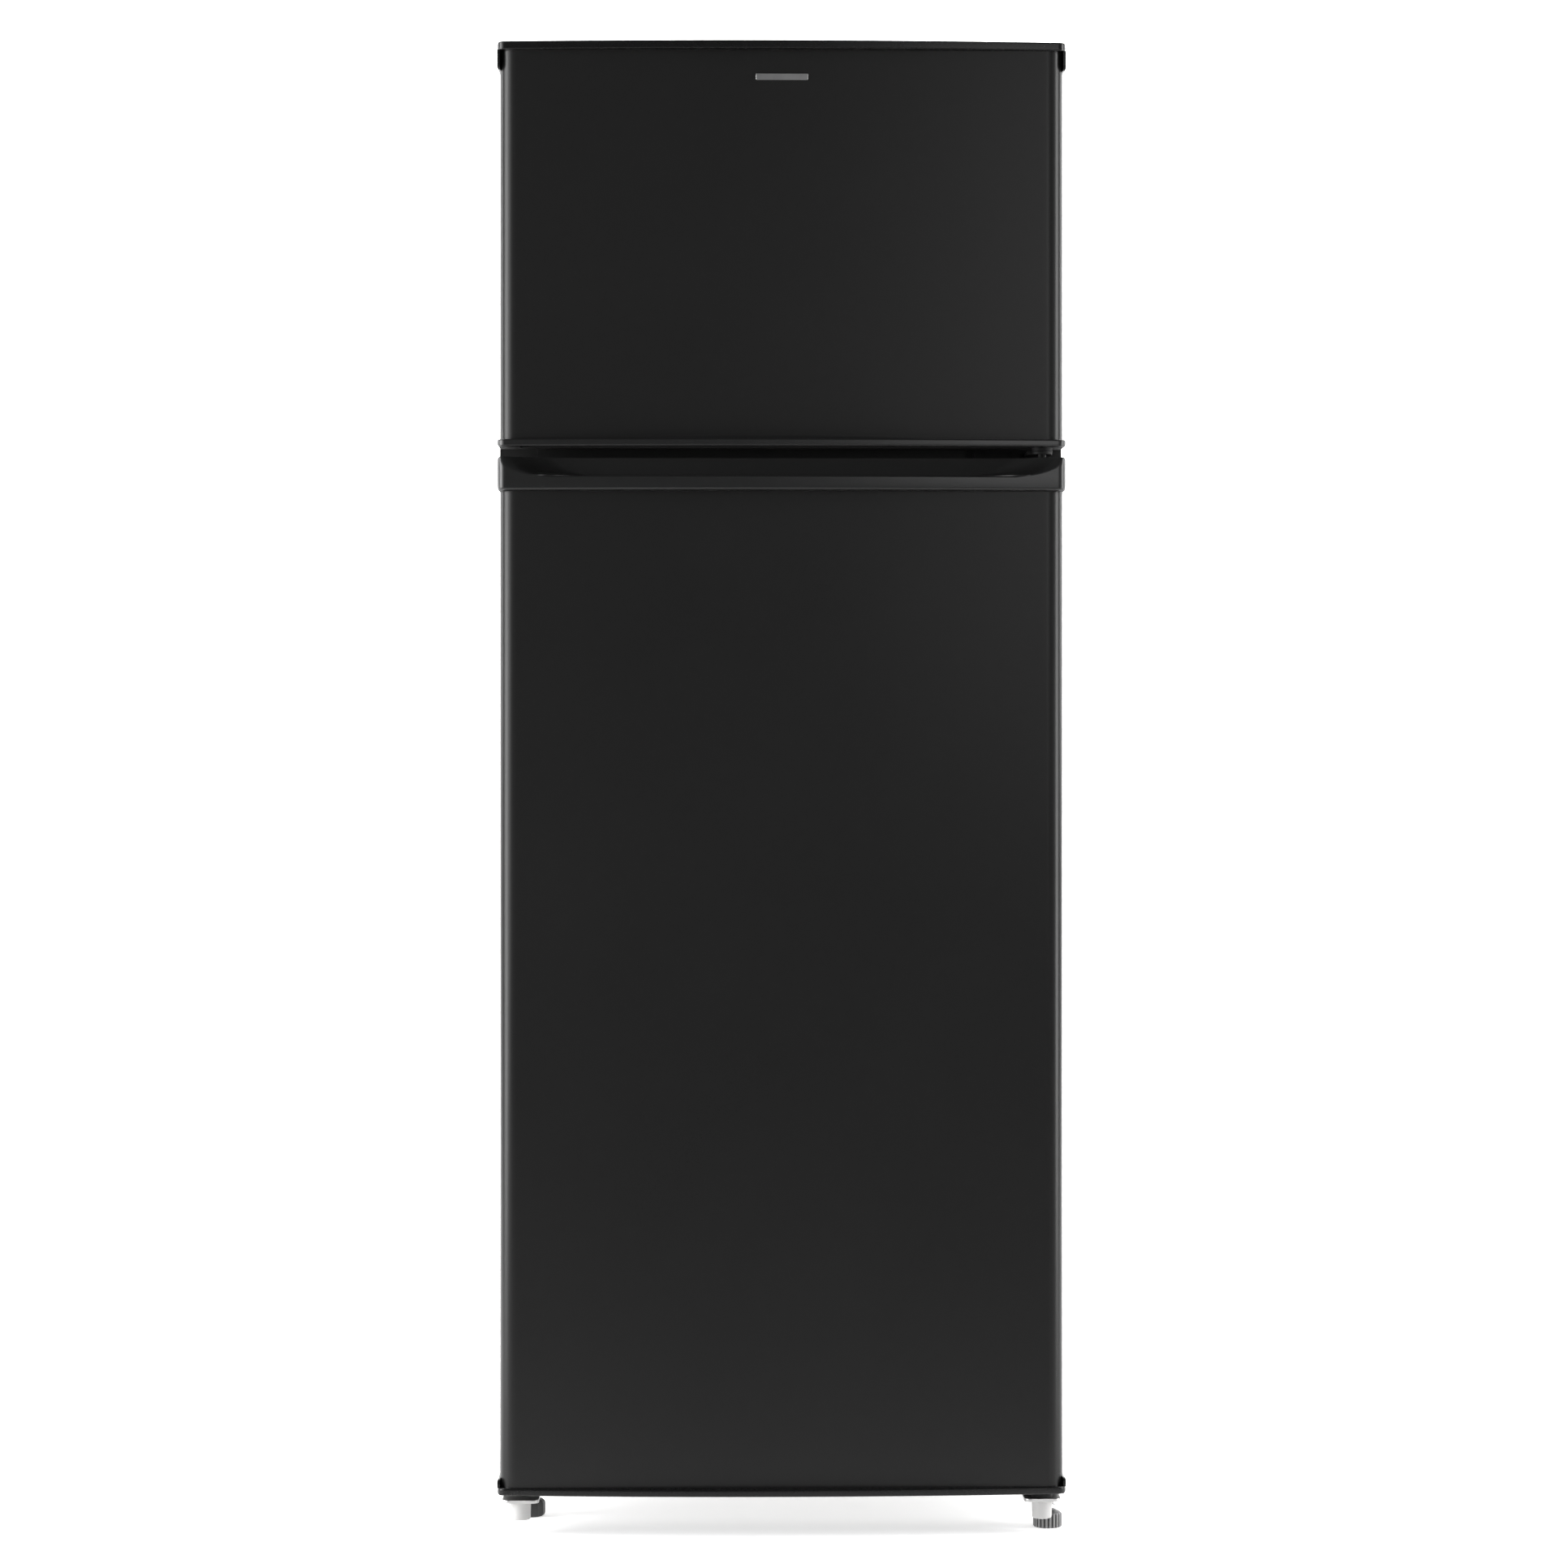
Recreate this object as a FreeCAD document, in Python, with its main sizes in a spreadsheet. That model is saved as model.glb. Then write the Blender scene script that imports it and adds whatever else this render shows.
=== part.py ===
"""Top freezer refrigerator: a foamed cabinet with two compartments and two doors hung on the right.

Frame: +Z up, X to the right as seen from the front, the doors face -Y. The origin is on the floor, under the
middle of the whole appliance. Every size is in millimetres. Driving dimensions are in the sheet "Sizes", places
worked out from them are in "Places", and each sub-part is an object of the document bound to those values.
"""
import FreeCAD
import Part
import Sketcher
import math
import os
import re
from FreeCAD import Placement, Rotation, Vector

# ---------------------------------------------------------------- driving dimensions
SIZES = {
    # the whole appliance
    "overall_height": (1434, "floor to the top of the hinge cover"),
    "overall_width": (545, "side to side, over the door caps and the cabinet"),
    "overall_depth": (555, "front of the caps to the back of the condenser"),
    # the two doors
    "cover_rise": (4, "hinge cover above the freezer door"),
    "door_underside": (39.5, "floor to the bottom of the fridge door"),
    "door_gap": (10, "between the two doors, where the middle hinge sits"),
    "freezer_door_height": (387, "freezer door, caps included"),
    "door_depth": (50, "cap corner to the door's back plane"),
    "cap_bulge": (12, "how far the caps bow forward in the middle"),
    "skin_bulge": (3, "how far the steel skin bows forward"),
    "cap_overhang": (2.3, "caps stand out past the skin"),
    "cap_round": (9, "radius of the caps' upright front edges"),
    "skin_sheet": (0.8, "door skin, prepainted steel"),
    "skin_return": (14, "fold of the skin onto the door's back"),
    "top_cap_band": (7.8, "freezer top cap seen above the skin"),
    "top_cap_skirt": (26, "side skirts of the top cap, from its top edge"),
    "cap_lip_height": (3.5, "front lip of the top cap above its floor"),
    "cap_lip_wall": (3, "front lip thickness"),
    "trim_band": (6.6, "freezer bottom trim seen below the skin"),
    "handle_band": (33, "fridge top cap with the grip"),
    "bottom_cap_band": (6.9, "fridge bottom cap seen below the skin"),
    "bottom_cap_skirt": (14.7, "side skirts of the bottom cap"),
    "cap_tuck": (24, "how far a cap goes inside the skin"),
    "cap_wall": (2.5, "wall of the hollow part of a cap"),
    "grip_half": (213, "half length of the straight finger grip"),
    "grip_sweep": (37, "length of the grip's curved end"),
    "grip_reach": (24, "cap corner line to the back wall of the grip"),
    "grip_lip": (6, "thickness of the lip that the fingers pull"),
    "grip_drop": (28, "depth of the trough in the fridge cap"),
    "grip_rise": (20, "height of the trough in the freezer trim"),
    "lip_drop": (18.6, "pull lip below the top of the fridge cap"),
    "badge_length": (50, "blank badge"),
    "badge_height": (6.2, "blank badge"),
    "badge_drop": (33.6, "badge centre below the top of the door"),
    # inside of the doors
    "panel_sheet": (2.5, "moulded inner panel of a door"),
    "dike_height": (28, "ridge that stands out of the inner panel"),
    "dike_width": (24, "width of that ridge"),
    "dike_inset": (11.5, "ridge inside the compartment opening"),
    "seal_gap": (10, "door back to cabinet front"),
    "seal_play": (0.4, "seal clear of the cabinet"),
    "seal_width": (14, "magnetic seal"),
    "seal_side_inset": (18, "seal in from the door's side"),
    "seal_end_inset": (9, "seal in from the door's top and bottom"),
    "rack_sheet": (2.2, "wall of a door rack"),
    "rack_play": (0.5, "rack to ridge, each side"),
    "rack_height": (62, "height of a door rack"),
    "bottle_rack_height": (84, "height of the lowest rack"),
    "bottle_reach": (103, "depth of the lowest rack"),
    "rack_reach": (88, "depth of the other racks"),
    # hinges
    "hinge_inset": (22, "hinge axis in from the side"),
    "hinge_setback": (20, "hinge axis behind the caps' corner line"),
    "pin_radius": (4, "hinge pins"),
    "pin_play": (0.05, "pin to bush, radial"),
    "bush_radius": (7, "sleeve of a door bush"),
    "bush_length": (16, "depth of a bush in the door"),
    "bush_flange": (10, "flange radius of the lower bushes"),
    "flange_play": (0.3, "flange to hinge plate"),
    "hinge_plate": (3, "hinge steel"),
    "hinge_flange": (2, "middle hinge's flange on the crossbar"),
    "arm_half": (6.5, "half width of the top hinge's arm"),
    "screw_radius": (2.4, "hinge and bracket screws"),
    "screw_head": (4.6, "radius of a screw head"),
    "screw_length": (14, "shank under the head"),
    # cabinet
    "cabinet_underside": (42, "floor to the cabinet's bottom sheet"),
    "fridge_wall": (45, "wall round the fridge compartment"),
    "freezer_wall": (55, "wall round the freezer compartment"),
    "rear_wall": (55, "insulated rear wall"),
    "mullion_height": (60, "insulated bar between the compartments"),
    "steel_sheet": (0.8, "cabinet wrap and back"),
    "flange_width": (36, "front flange that the seals close on"),
    "liner_sheet": (2, "plastic liners"),
    "liner_round": (14, "inside corners of the liners"),
    "bay_height": (190, "compressor bay"),
    "bay_depth": (165, "compressor bay"),
    "step_wall": (40, "insulation over and before the bay"),
    "condenser_space": (32, "cabinet back to the wall spacers' ends"),
    # shelves and drawer
    "shelf_play": (1.5, "shelf to liner, each side"),
    "shelf_front": (8, "shelf front behind the lowest rack"),
    "shelf_rear": (6, "shelf rear to liner"),
    "glass_sheet": (4, "toughened glass"),
    "shelf_trim": (14, "height of a shelf trim"),
    "rail_width": (8, "shelf ledges moulded in the liner"),
    "rail_height": (5, "shelf ledges moulded in the liner"),
    "rail_first": (330, "lowest ledge, which holds the crisper cover"),
    "rail_pitch": (215, "ledge to ledge"),
    "crisper_half": (205, "half width of the crisper"),
    "crisper_sheet": (2.5, "crisper wall"),
    "crisper_play": (4, "crisper to its neighbours"),
    "freezer_shelf_rise": (150, "freezer shelf above the freezer floor"),
    # feet, brackets and rollers
    "bracket_low": (30.5, "underside of the two front brackets"),
    "bracket_half": (17.5, "half width of a front bracket"),
    "sleeve_radius": (9.75, "white sleeves under the brackets"),
    "sleeve_low": (13.5, "floor to a sleeve's end"),
    "foot_radius": (14, "levelling feet"),
    "foot_height": (17, "knob of a levelling foot"),
    "foot_stud": (4, "stud radius of a foot"),
    "right_foot_inset": (14.5, "right foot in from the side"),
    "right_foot_setback": (47, "right foot behind the caps' corner line"),
    "left_foot_inset": (28, "left foot in from the side"),
    "left_foot_setback": (110, "left foot behind the caps' corner line"),
    "rail_depth": (60, "front base rail, front to back"),
    "roller_radius": (15, "rear rollers"),
    "roller_width": (16, "rear rollers"),
    "roller_inset": (62, "roller middle in from the side"),
    "roller_setback": (34, "roller axis before the cabinet's back"),
    "axle_radius": (3, "roller axles"),
    "base_sheet": (2, "compressor base plate"),
}

# ---------------------------------------------------------------- places worked out from them
PLACES = {
    "half_width": "overall_width / 2",
    "door_front": "0 - overall_depth / 2",
    "cap_edge": "door_front + cap_bulge",
    "door_back": "cap_edge + door_depth",
    "cabinet_front": "door_back + seal_gap",
    "cabinet_back": "overall_depth / 2 - condenser_space",
    "skin_half": "half_width - cap_overhang",
    "skin_edge": "cap_edge + cap_overhang",
    "skin_round": "cap_round - cap_overhang",
    "cap_arc": "(half_width ^ 2 + cap_bulge ^ 2) / (2 * cap_bulge)",
    "cap_centre": "door_front + cap_arc",
    "skin_arc": "(skin_half ^ 2 + skin_bulge ^ 2) / (2 * skin_bulge)",
    "door_top": "overall_height - cover_rise",
    "freezer_low": "door_top - freezer_door_height",
    "fridge_top": "freezer_low - door_gap",
    "cabinet_top": "door_top - cap_lip_height + flange_play + 0.2",
    "mullion_low": "fridge_top + door_gap / 2 - mullion_height / 2",
    "mullion_high": "mullion_low + mullion_height",
    "freezer_half": "half_width - freezer_wall",
    "freezer_ceiling": "cabinet_top - freezer_wall",
    "fridge_half": "half_width - fridge_wall",
    "fridge_floor": "cabinet_underside + fridge_wall",
    "inner_back": "cabinet_back - rear_wall",
    "bay_front": "cabinet_back - bay_depth",
    "bay_top": "cabinet_underside + bay_height",
    "step_front": "bay_front - step_wall",
    "step_top": "bay_top + step_wall",
    "hinge_x": "half_width - hinge_inset",
    "hinge_y": "cap_edge + hinge_setback",
    "panel_half": "skin_half - skin_return",
    "seal_half": "half_width - seal_side_inset",
    "fridge_dike": "fridge_half - dike_inset",
    "freezer_dike": "freezer_half - dike_inset",
    "rack_front": "door_back + bottle_reach",
    "shelf_edge": "rack_front + shelf_front",
    "shelf_end": "inner_back - shelf_rear",
    "shelf_half": "fridge_half - shelf_play",
    "crisper_low": "fridge_floor + crisper_play",
    "crisper_top": "rail_first - shelf_trim / 2 - crisper_play",
    "plate_low": "fridge_top + door_gap / 2 - hinge_plate / 2",
    "bracket_high": "bracket_low + hinge_plate",
    "grip_wall": "cap_edge + grip_reach",
    "grip_end": "grip_half + grip_sweep",
    "sweep_radius": "(grip_sweep ^ 2 + lip_drop ^ 2) / (2 * lip_drop)",
    "tray_level": "cabinet_underside - 4 + 7 + 112",
    "condenser_high": "cabinet_top - 90",
    "condenser_low": "bay_top + 60",
    "run_pitch": "(condenser_high - condenser_low) / 15",
    "condenser_half": "half_width - 42",
}

PLANES = {"XY": "XY_Plane", "XZ": "XZ_Plane", "YZ": "YZ_Plane"}
NODES = {}
ANSWERS = {}
doc = FreeCAD.newDocument("TopFreezerRefrigerator")


# ---------------------------------------------------------------- the document's own tools
def fill_sheet():
    """Writes each driving dimension into the sheet: name, plain number and note."""
    sheet = doc.addObject("Spreadsheet::Sheet", "Sizes")
    for row, (name, (value, note)) in enumerate(SIZES.items(), start=1):
        sheet.set(f"A{row}", name)
        sheet.set(f"B{row}", str(value))
        sheet.set(f"C{row}", note)
        sheet.setAlias(f"B{row}", name)
    doc.recompute()


def fill_places():
    """Adds each worked-out place as a number bound to the sheet, and a spare object that works out single rules."""
    places = doc.addObject("App::VarSet", "Places")
    for name, text in PLACES.items():
        places.addProperty("App::PropertyFloat", name)
        places.setExpression(name, rule(text))
    probe = doc.addObject("App::VarSet", "Probe")
    probe.addProperty("App::PropertyFloat", "answer")
    doc.recompute()
    return probe


def rule(text):
    """The text as a document expression: each size and place gets the name of the object that holds it."""
    def home(found):
        name = found.group(0)
        if name in SIZES:
            return "Sizes." + name
        return "Places." + name if name in PLACES else name
    return re.sub(r"[a-z]\w+", home, str(text))


def number(text):
    """What a rule comes to now."""
    if text not in ANSWERS:
        probe.setExpression("answer", rule(text))
        probe.recompute()
        ANSWERS[text] = probe.answer
    return ANSWERS[text]


def new_body(label, keep=True):
    body = doc.addObject("PartDesign::Body", label)
    body.Label = label
    if keep:
        NODES[label] = body
    return body


def rect(low_x, high_x, low_y, high_y):
    return [(low_x, low_y), (high_x, low_y), (high_x, high_y), (low_x, high_y)]


def mirror_rect(half, low_y, high_y):
    return rect(f"0 - ({half})", half, low_y, high_y)


def circle(x, y, radius):
    return ("circle", x, y, radius)


def arc_between(start, end, radius):
    """The shorter arc that turns to the left on its way from start to end."""
    chord = end - start
    rise = math.sqrt(max(radius ** 2 - (chord.Length / 2) ** 2, 0))
    left = Vector(-chord.y, chord.x, 0).normalize()
    centre = (start + end) / 2 + left * rise
    first = math.atan2(start.y - centre.y, start.x - centre.x)
    last = math.atan2(end.y - centre.y, end.x - centre.x)
    if last < first:
        last += 2 * math.pi
    return Part.ArcOfCircle(Part.Circle(centre, Vector(0, 0, 1), radius), first, last)


def pin_point(sketch, index, end, x, y):
    """Ties one end of a piece of geometry to two rules."""
    for kind, text in (("DistanceX", x), ("DistanceY", y)):
        made = sketch.addConstraint(Sketcher.Constraint(kind, -1, 1, index, end, number(text)))
        sketch.setExpression(f"Constraints[{made}]", rule(text))


def draw_circle(sketch, x, y, radius):
    centre = Vector(number(x), number(y), 0)
    index = sketch.addGeometry(Part.Circle(centre, Vector(0, 0, 1), number(radius)), False)
    pin_point(sketch, index, 3, x, y)
    made = sketch.addConstraint(Sketcher.Constraint("Radius", index, number(radius)))
    sketch.setExpression(f"Constraints[{made}]", rule(radius))


def draw_loop(sketch, corners):
    """Draws a closed loop. A corner is (x, y), or (x, y, radius) where an arc that turns left leads to the next."""
    places_now = [Vector(number(c[0]), number(c[1]), 0) for c in corners]
    first = None
    for k, corner in enumerate(corners):
        start, end = places_now[k], places_now[(k + 1) % len(corners)]
        shape = Part.LineSegment(start, end) if len(corner) == 2 else arc_between(start, end, number(corner[2]))
        index = sketch.addGeometry(shape, False)
        first = index if first is None else first
        pin_point(sketch, index, 1, corner[0], corner[1])
        if len(corner) == 3:
            made = sketch.addConstraint(Sketcher.Constraint("Radius", index, number(corner[2])))
            sketch.setExpression(f"Constraints[{made}]", rule(corner[2]))
    for k in range(len(corners)):
        after = first + (k + 1) % len(corners)
        sketch.addConstraint(Sketcher.Constraint("Coincident", first + k, 2, after, 1))


def outline(body, plane, at, loops):
    """A sketch on the body's own origin plane, moved along its axis to the place that a rule gives."""
    sketch = body.newObject("Sketcher::SketchObject", body.Label + "_outline")
    support = [f for f in body.Origin.OriginFeatures if f.Role == PLANES[plane]][0]
    sketch.AttachmentSupport = [(support, "")]
    sketch.MapMode = "FlatFace"
    sketch.setExpression("AttachmentOffset.Base.z", rule(at if plane != "XZ" else f"0 - ({at})"))
    for loop in loops:
        if loop[0] == "circle":
            draw_circle(sketch, *loop[1:])
        else:
            draw_loop(sketch, loop)
    return sketch


def block(body, plane, low, high, *loops):
    """Adds material between two places along the plane's axis."""
    sketch = outline(body, plane, high if plane == "XZ" else low, loops)
    pad = body.newObject("PartDesign::Pad", body.Label + "_pad")
    pad.Profile = sketch
    pad.setExpression("Length", rule(f"({high}) - ({low})"))
    doc.recompute()
    return pad


def carve(body, plane, low, high, *loops):
    """Takes material away between two places along the plane's axis, and checks that it did."""
    before = body.Shape.Volume
    sketch = outline(body, plane, high if plane == "XZ" else low, loops)
    pocket = body.newObject("PartDesign::Pocket", body.Label + "_pocket")
    pocket.Profile = sketch
    pocket.Reversed = True
    pocket.setExpression("Length", rule(f"({high}) - ({low})"))
    doc.recompute()
    if body.Shape.Volume > before - 0.5:
        raise RuntimeError(f"{pocket.Label} cut nothing from {body.Label}")
    return pocket


def spans(edge):
    box = edge.BoundBox
    return box.XLength, box.YLength, box.ZLength


def upright(edge):
    wide, deep, tall = spans(edge)
    return wide < 0.01 and deep < 0.01 and tall > 1


def near(value, text):
    return abs(value - number(text)) < 0.05


def soften(body, test, radius, kind="PartDesign::Fillet"):
    """Rounds (or chamfers) the edges of the body's newest feature that pass the test."""
    base = body.Tip
    names = [f"Edge{k + 1}" for k, edge in enumerate(base.Shape.Edges) if test(edge)]
    if not names:
        raise RuntimeError(f"no edge to soften on {body.Label}")
    made = body.newObject(kind, body.Label + "_soft")
    made.Base = (base, names)
    made.setExpression("Radius" if kind.endswith("Fillet") else "Size", rule(radius))
    doc.recompute()
    return made


def solid_box(label, x, y, z, keep=True):
    """A Part::Box between pairs of places."""
    box = doc.addObject("Part::Box", label)
    box.Label = label
    for prop, axis, (low, high) in (("Length", "x", x), ("Width", "y", y), ("Height", "z", z)):
        box.setExpression(prop, rule(f"({high}) - ({low})"))
        box.setExpression(f"Placement.Base.{axis}", rule(low))
    if keep:
        NODES[label] = box
    return box


TURNS = {"Z": Rotation(), "X": Rotation(Vector(0, 1, 0), 90), "Y": Rotation(Vector(1, 0, 0), -90)}


def solid_rod(label, axis, x, y, z, radius, length, keep=True):
    """A Part::Cylinder that starts at a place and runs towards plus along an axis."""
    rod = doc.addObject("Part::Cylinder", label)
    rod.Label = label
    rod.Placement = Placement(Vector(), TURNS[axis])
    rod.setExpression("Radius", rule(radius))
    rod.setExpression("Height", rule(length))
    for side, text in (("x", x), ("y", y), ("z", z)):
        rod.setExpression(f"Placement.Base.{side}", rule(text))
    if keep:
        NODES[label] = rod
    return rod


def gather(label, pieces, keep=True):
    """Separate solids of one kind as one node."""
    made = doc.addObject("Part::Compound", label)
    made.Label = label
    made.Links = pieces
    if keep:
        NODES[label] = made
    doc.recompute()
    return made


def lathe(body, x, y, corners):
    """Turns an outline of (radius, height) corners round the upright axis at x, y."""
    sketch = body.newObject("Sketcher::SketchObject", body.Label + "_half")
    support = [f for f in body.Origin.OriginFeatures if f.Role == "XZ_Plane"][0]
    sketch.AttachmentSupport = [(support, "")]
    sketch.MapMode = "FlatFace"
    sketch.setExpression("AttachmentOffset.Base.x", rule(x))
    sketch.setExpression("AttachmentOffset.Base.z", rule(f"0 - ({y})"))
    draw_loop(sketch, corners)
    turned = body.newObject("PartDesign::Revolution", body.Label + "_turned")
    turned.Profile = sketch
    turned.ReferenceAxis = (sketch, ["V_Axis"])
    turned.Angle = 360
    doc.recompute()
    return turned


def sweep_tube(label, points, radius, bend, keep=True):
    """A rod of straight runs joined by tangent arcs through a row of corner points."""
    edges = []
    last = points[0]
    for before, corner, after in zip(points, points[1:], points[2:]):
        into = (corner - before).normalize()
        out = (after - corner).normalize()
        turn = into.getAngle(out)
        reach = bend * math.tan(turn / 2)
        start = corner - into * reach
        end = corner + out * reach
        inward = (out - into).normalize()
        middle = corner + inward * (bend / math.cos(turn / 2) - bend)
        if (start - last).Length > 1e-6:
            edges.append(Part.LineSegment(last, start).toShape())
        edges.append(Part.Arc(start, middle, end).toShape())
        last = end
    edges.append(Part.LineSegment(last, points[-1]).toShape())
    path = Part.Wire(edges)
    ring = Part.Wire(Part.Circle(points[0], points[1] - points[0], radius).toShape())
    tube = path.makePipeShell([ring], True, True)
    if tube.Volume < 0:
        tube.reverse()
    expected = math.pi * radius ** 2 * path.Length
    if abs(tube.Volume / expected - 1) > 0.02:
        raise RuntimeError(f"{label}: the tube's volume is off")
    made = doc.addObject("Part::Feature", label)
    made.Label = label
    made.Shape = tube.Solids[0]
    if keep:
        NODES[label] = made
    return made


fill_sheet()
probe = fill_places()

# ---------------------------------------------------------------- shared outlines
def cap_plan(back="door_back", inset="0"):
    """The caps' outline from above: straight sides and back, and a front that bows forward."""
    half = f"half_width - ({inset})"
    edge = f"cap_edge + ({inset})"
    return [(f"0 - ({half})", edge, "cap_arc"), (half, edge), (half, back), (f"0 - ({half})", back)]


def skin_plan(inset, back):
    half = f"skin_half - ({inset})"
    edge = f"skin_edge + ({inset})"
    return [(f"0 - ({half})", edge, "skin_arc"), (half, edge), (half, back), (f"0 - ({half})", back)]


def front_corner(edge):
    """The upright edges at the front corners of a door outline."""
    return upright(edge) and edge.BoundBox.YMin < number("cap_edge + 5")


def grip_loop():
    """The finger trough from above: its front wall follows the cap's bow, its back wall is straight."""
    front = "cap_centre - sqrt((cap_arc - grip_lip) ^ 2 - grip_half ^ 2)"
    return [("0 - grip_half", front, "cap_arc - grip_lip"), ("grip_half", front),
            ("grip_half", "grip_wall"), ("0 - grip_half", "grip_wall")]


HINGE_SIDES = {"right": "hinge_x", "left": "0 - hinge_x"}


def bush_hole(body, low, high):
    """A bored boss on each side of a cap, so that the door can be hung from either side."""
    for side in HINGE_SIDES.values():
        block(body, "XY", low, high, circle(side, "hinge_y", "bush_radius + cap_wall"))
    for side in HINGE_SIDES.values():
        carve(body, "XY", low, high, circle(side, "hinge_y", "bush_radius"))


# ---------------------------------------------------------------- door skins, foam, inner panels and seals
def door_skin(label, low, high):
    """Prepainted steel folded round the front and sides, with a return on the back."""
    body = new_body(label)
    block(body, "XY", low, high, skin_plan("0", "door_back"))
    soften(body, front_corner, "skin_round")
    carve(body, "XY", low, high, skin_plan("skin_sheet + skin_round * 0.3", "door_back - skin_sheet"))
    carve(body, "XY", low, high, mirror_rect("skin_half - skin_sheet", "skin_edge + skin_round", "door_back - skin_sheet"))
    carve(body, "XY", low, high, mirror_rect("panel_half + skin_sheet", "door_back - 2 * skin_sheet", "door_back + 1"))


def door_foam(label, low, high, dike_half, dike_low, dike_high):
    """Polyurethane foam between the skin and the inner panel, which also fills the panel's ridge."""
    body = new_body(label)
    inset = "skin_sheet + skin_round * 0.3 + 0.1"
    block(body, "XY", low, high, skin_plan(inset, "door_back - panel_sheet - 0.1"))
    grow = "(panel_sheet + 0.1)"
    ring = [mirror_rect(f"{dike_half} - {grow}", f"{dike_low} + {grow}", f"{dike_high} - {grow}"),
            mirror_rect(f"{dike_half} - dike_width + {grow}", f"{dike_low} + dike_width - {grow}",
                        f"{dike_high} - dike_width + {grow}")]
    block(body, "XZ", "door_back - panel_sheet - 0.1", "door_back + dike_height - panel_sheet - 0.1", *ring)


def inner_panel(label, low, high, dike_half, dike_low, dike_high):
    """Moulded white panel: a flat flange for the seal and a hollow ridge that reaches into the compartment."""
    body = new_body(label)
    block(body, "XZ", "door_back - panel_sheet", "door_back", mirror_rect("panel_half", low, high))
    outer = mirror_rect(dike_half, dike_low, dike_high)
    inner = mirror_rect(f"{dike_half} - dike_width", f"{dike_low} + dike_width", f"{dike_high} - dike_width")
    block(body, "XZ", "door_back", "door_back + dike_height", outer, inner)
    soften(body, lambda e: spans(e)[0] < 0.01 and spans(e)[2] < 0.01 and e.BoundBox.YMin > number("door_back - 0.1"), "8")
    hollow = [mirror_rect(f"{dike_half} - panel_sheet", f"{dike_low} + panel_sheet", f"{dike_high} - panel_sheet"),
              mirror_rect(f"{dike_half} - dike_width + panel_sheet", f"{dike_low} + dike_width - panel_sheet",
                          f"{dike_high} - dike_width + panel_sheet")]
    carve(body, "XZ", "door_back - panel_sheet", "door_back + dike_height - panel_sheet", *hollow)


def door_seal(label, low, high):
    """Magnetic seal, a square frame of one soft section."""
    body = new_body(label)
    outer = mirror_rect("seal_half", f"{low} + seal_end_inset", f"{high} - seal_end_inset")
    inner = mirror_rect("seal_half - seal_width", f"{low} + seal_end_inset + seal_width",
                        f"{high} - seal_end_inset - seal_width")
    block(body, "XZ", "door_back", "cabinet_front - seal_play", outer, inner)


def door_rack(label, low, height, reach, half, keep=True):
    """Open plastic tray that hangs between the panel's ridges."""
    body = new_body(label, keep)
    front = f"door_back + {reach}"
    block(body, "XY", low, f"{low} + {height}", mirror_rect(half, "door_back + rack_play", front))
    soften(body, lambda e: upright(e) and near(e.BoundBox.YMin, front), "18")
    carve(body, "XY", f"{low} + rack_sheet", f"{low} + {height}",
          mirror_rect(f"{half} - rack_sheet", "door_back + rack_play + rack_sheet", f"{front} - rack_sheet - 5"))
    carve(body, "XY", f"{low} + rack_sheet", f"{low} + {height}",
          mirror_rect(f"{half} - 18", f"{front} - rack_sheet - 6", f"{front} - rack_sheet"))
    carve(body, "XY", f"{low} + {height} * 0.62", f"{low} + {height}",
          mirror_rect(f"{half} + 1", "door_back + rack_play - 1", f"door_back + {reach} * 0.35"))
    return body


door_skin("freezer_door_skin", "freezer_low + trim_band", "door_top - top_cap_band")
door_skin("fridge_door_skin", "door_underside + bottom_cap_band", "fridge_top - handle_band")
door_foam("freezer_door_foam", "freezer_low + trim_band + cap_tuck", "door_top - top_cap_band - cap_tuck",
          "freezer_dike", "(mullion_high + dike_inset)", "(freezer_ceiling - dike_inset)")
door_foam("fridge_door_foam", "door_underside + bottom_cap_band + cap_tuck", "fridge_top - handle_band",
          "fridge_dike", "(fridge_floor + dike_inset)", "(mullion_low - dike_inset)")
inner_panel("freezer_door_inner_panel", "freezer_low + trim_band", "door_top - top_cap_band",
            "freezer_dike", "(mullion_high + dike_inset)", "(freezer_ceiling - dike_inset)")
inner_panel("fridge_door_inner_panel", "door_underside + bottom_cap_band", "fridge_top - handle_band",
            "fridge_dike", "(fridge_floor + dike_inset)", "(mullion_low - dike_inset)")
door_seal("freezer_door_seal", "freezer_low", "door_top")
door_seal("fridge_door_seal", "door_underside", "fridge_top")

# ---------------------------------------------------------------- door caps
def tuck(body, low, high):
    """The hollow part of a cap that goes inside the skin."""
    inset = "skin_sheet + skin_round * 0.3 + 0.1"
    back = "door_back - panel_sheet - 0.2"
    block(body, "XY", low, high, skin_plan(inset, back))
    carve(body, "XY", low, high, mirror_rect(f"skin_half - ({inset}) - cap_wall", f"skin_edge + ({inset}) + cap_wall",
                                             f"{back} - cap_wall"))


def skirts(body, low, high):
    """Thin side skirts that lap over the skin."""
    for sign in ("", "0 - "):
        inner, outer = f"{sign}skin_half", f"{sign}half_width"
        pair = (inner, outer) if not sign else (outer, inner)
        block(body, "XY", low, high, rect(*pair, "cap_edge + cap_round", "door_back"))


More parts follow.
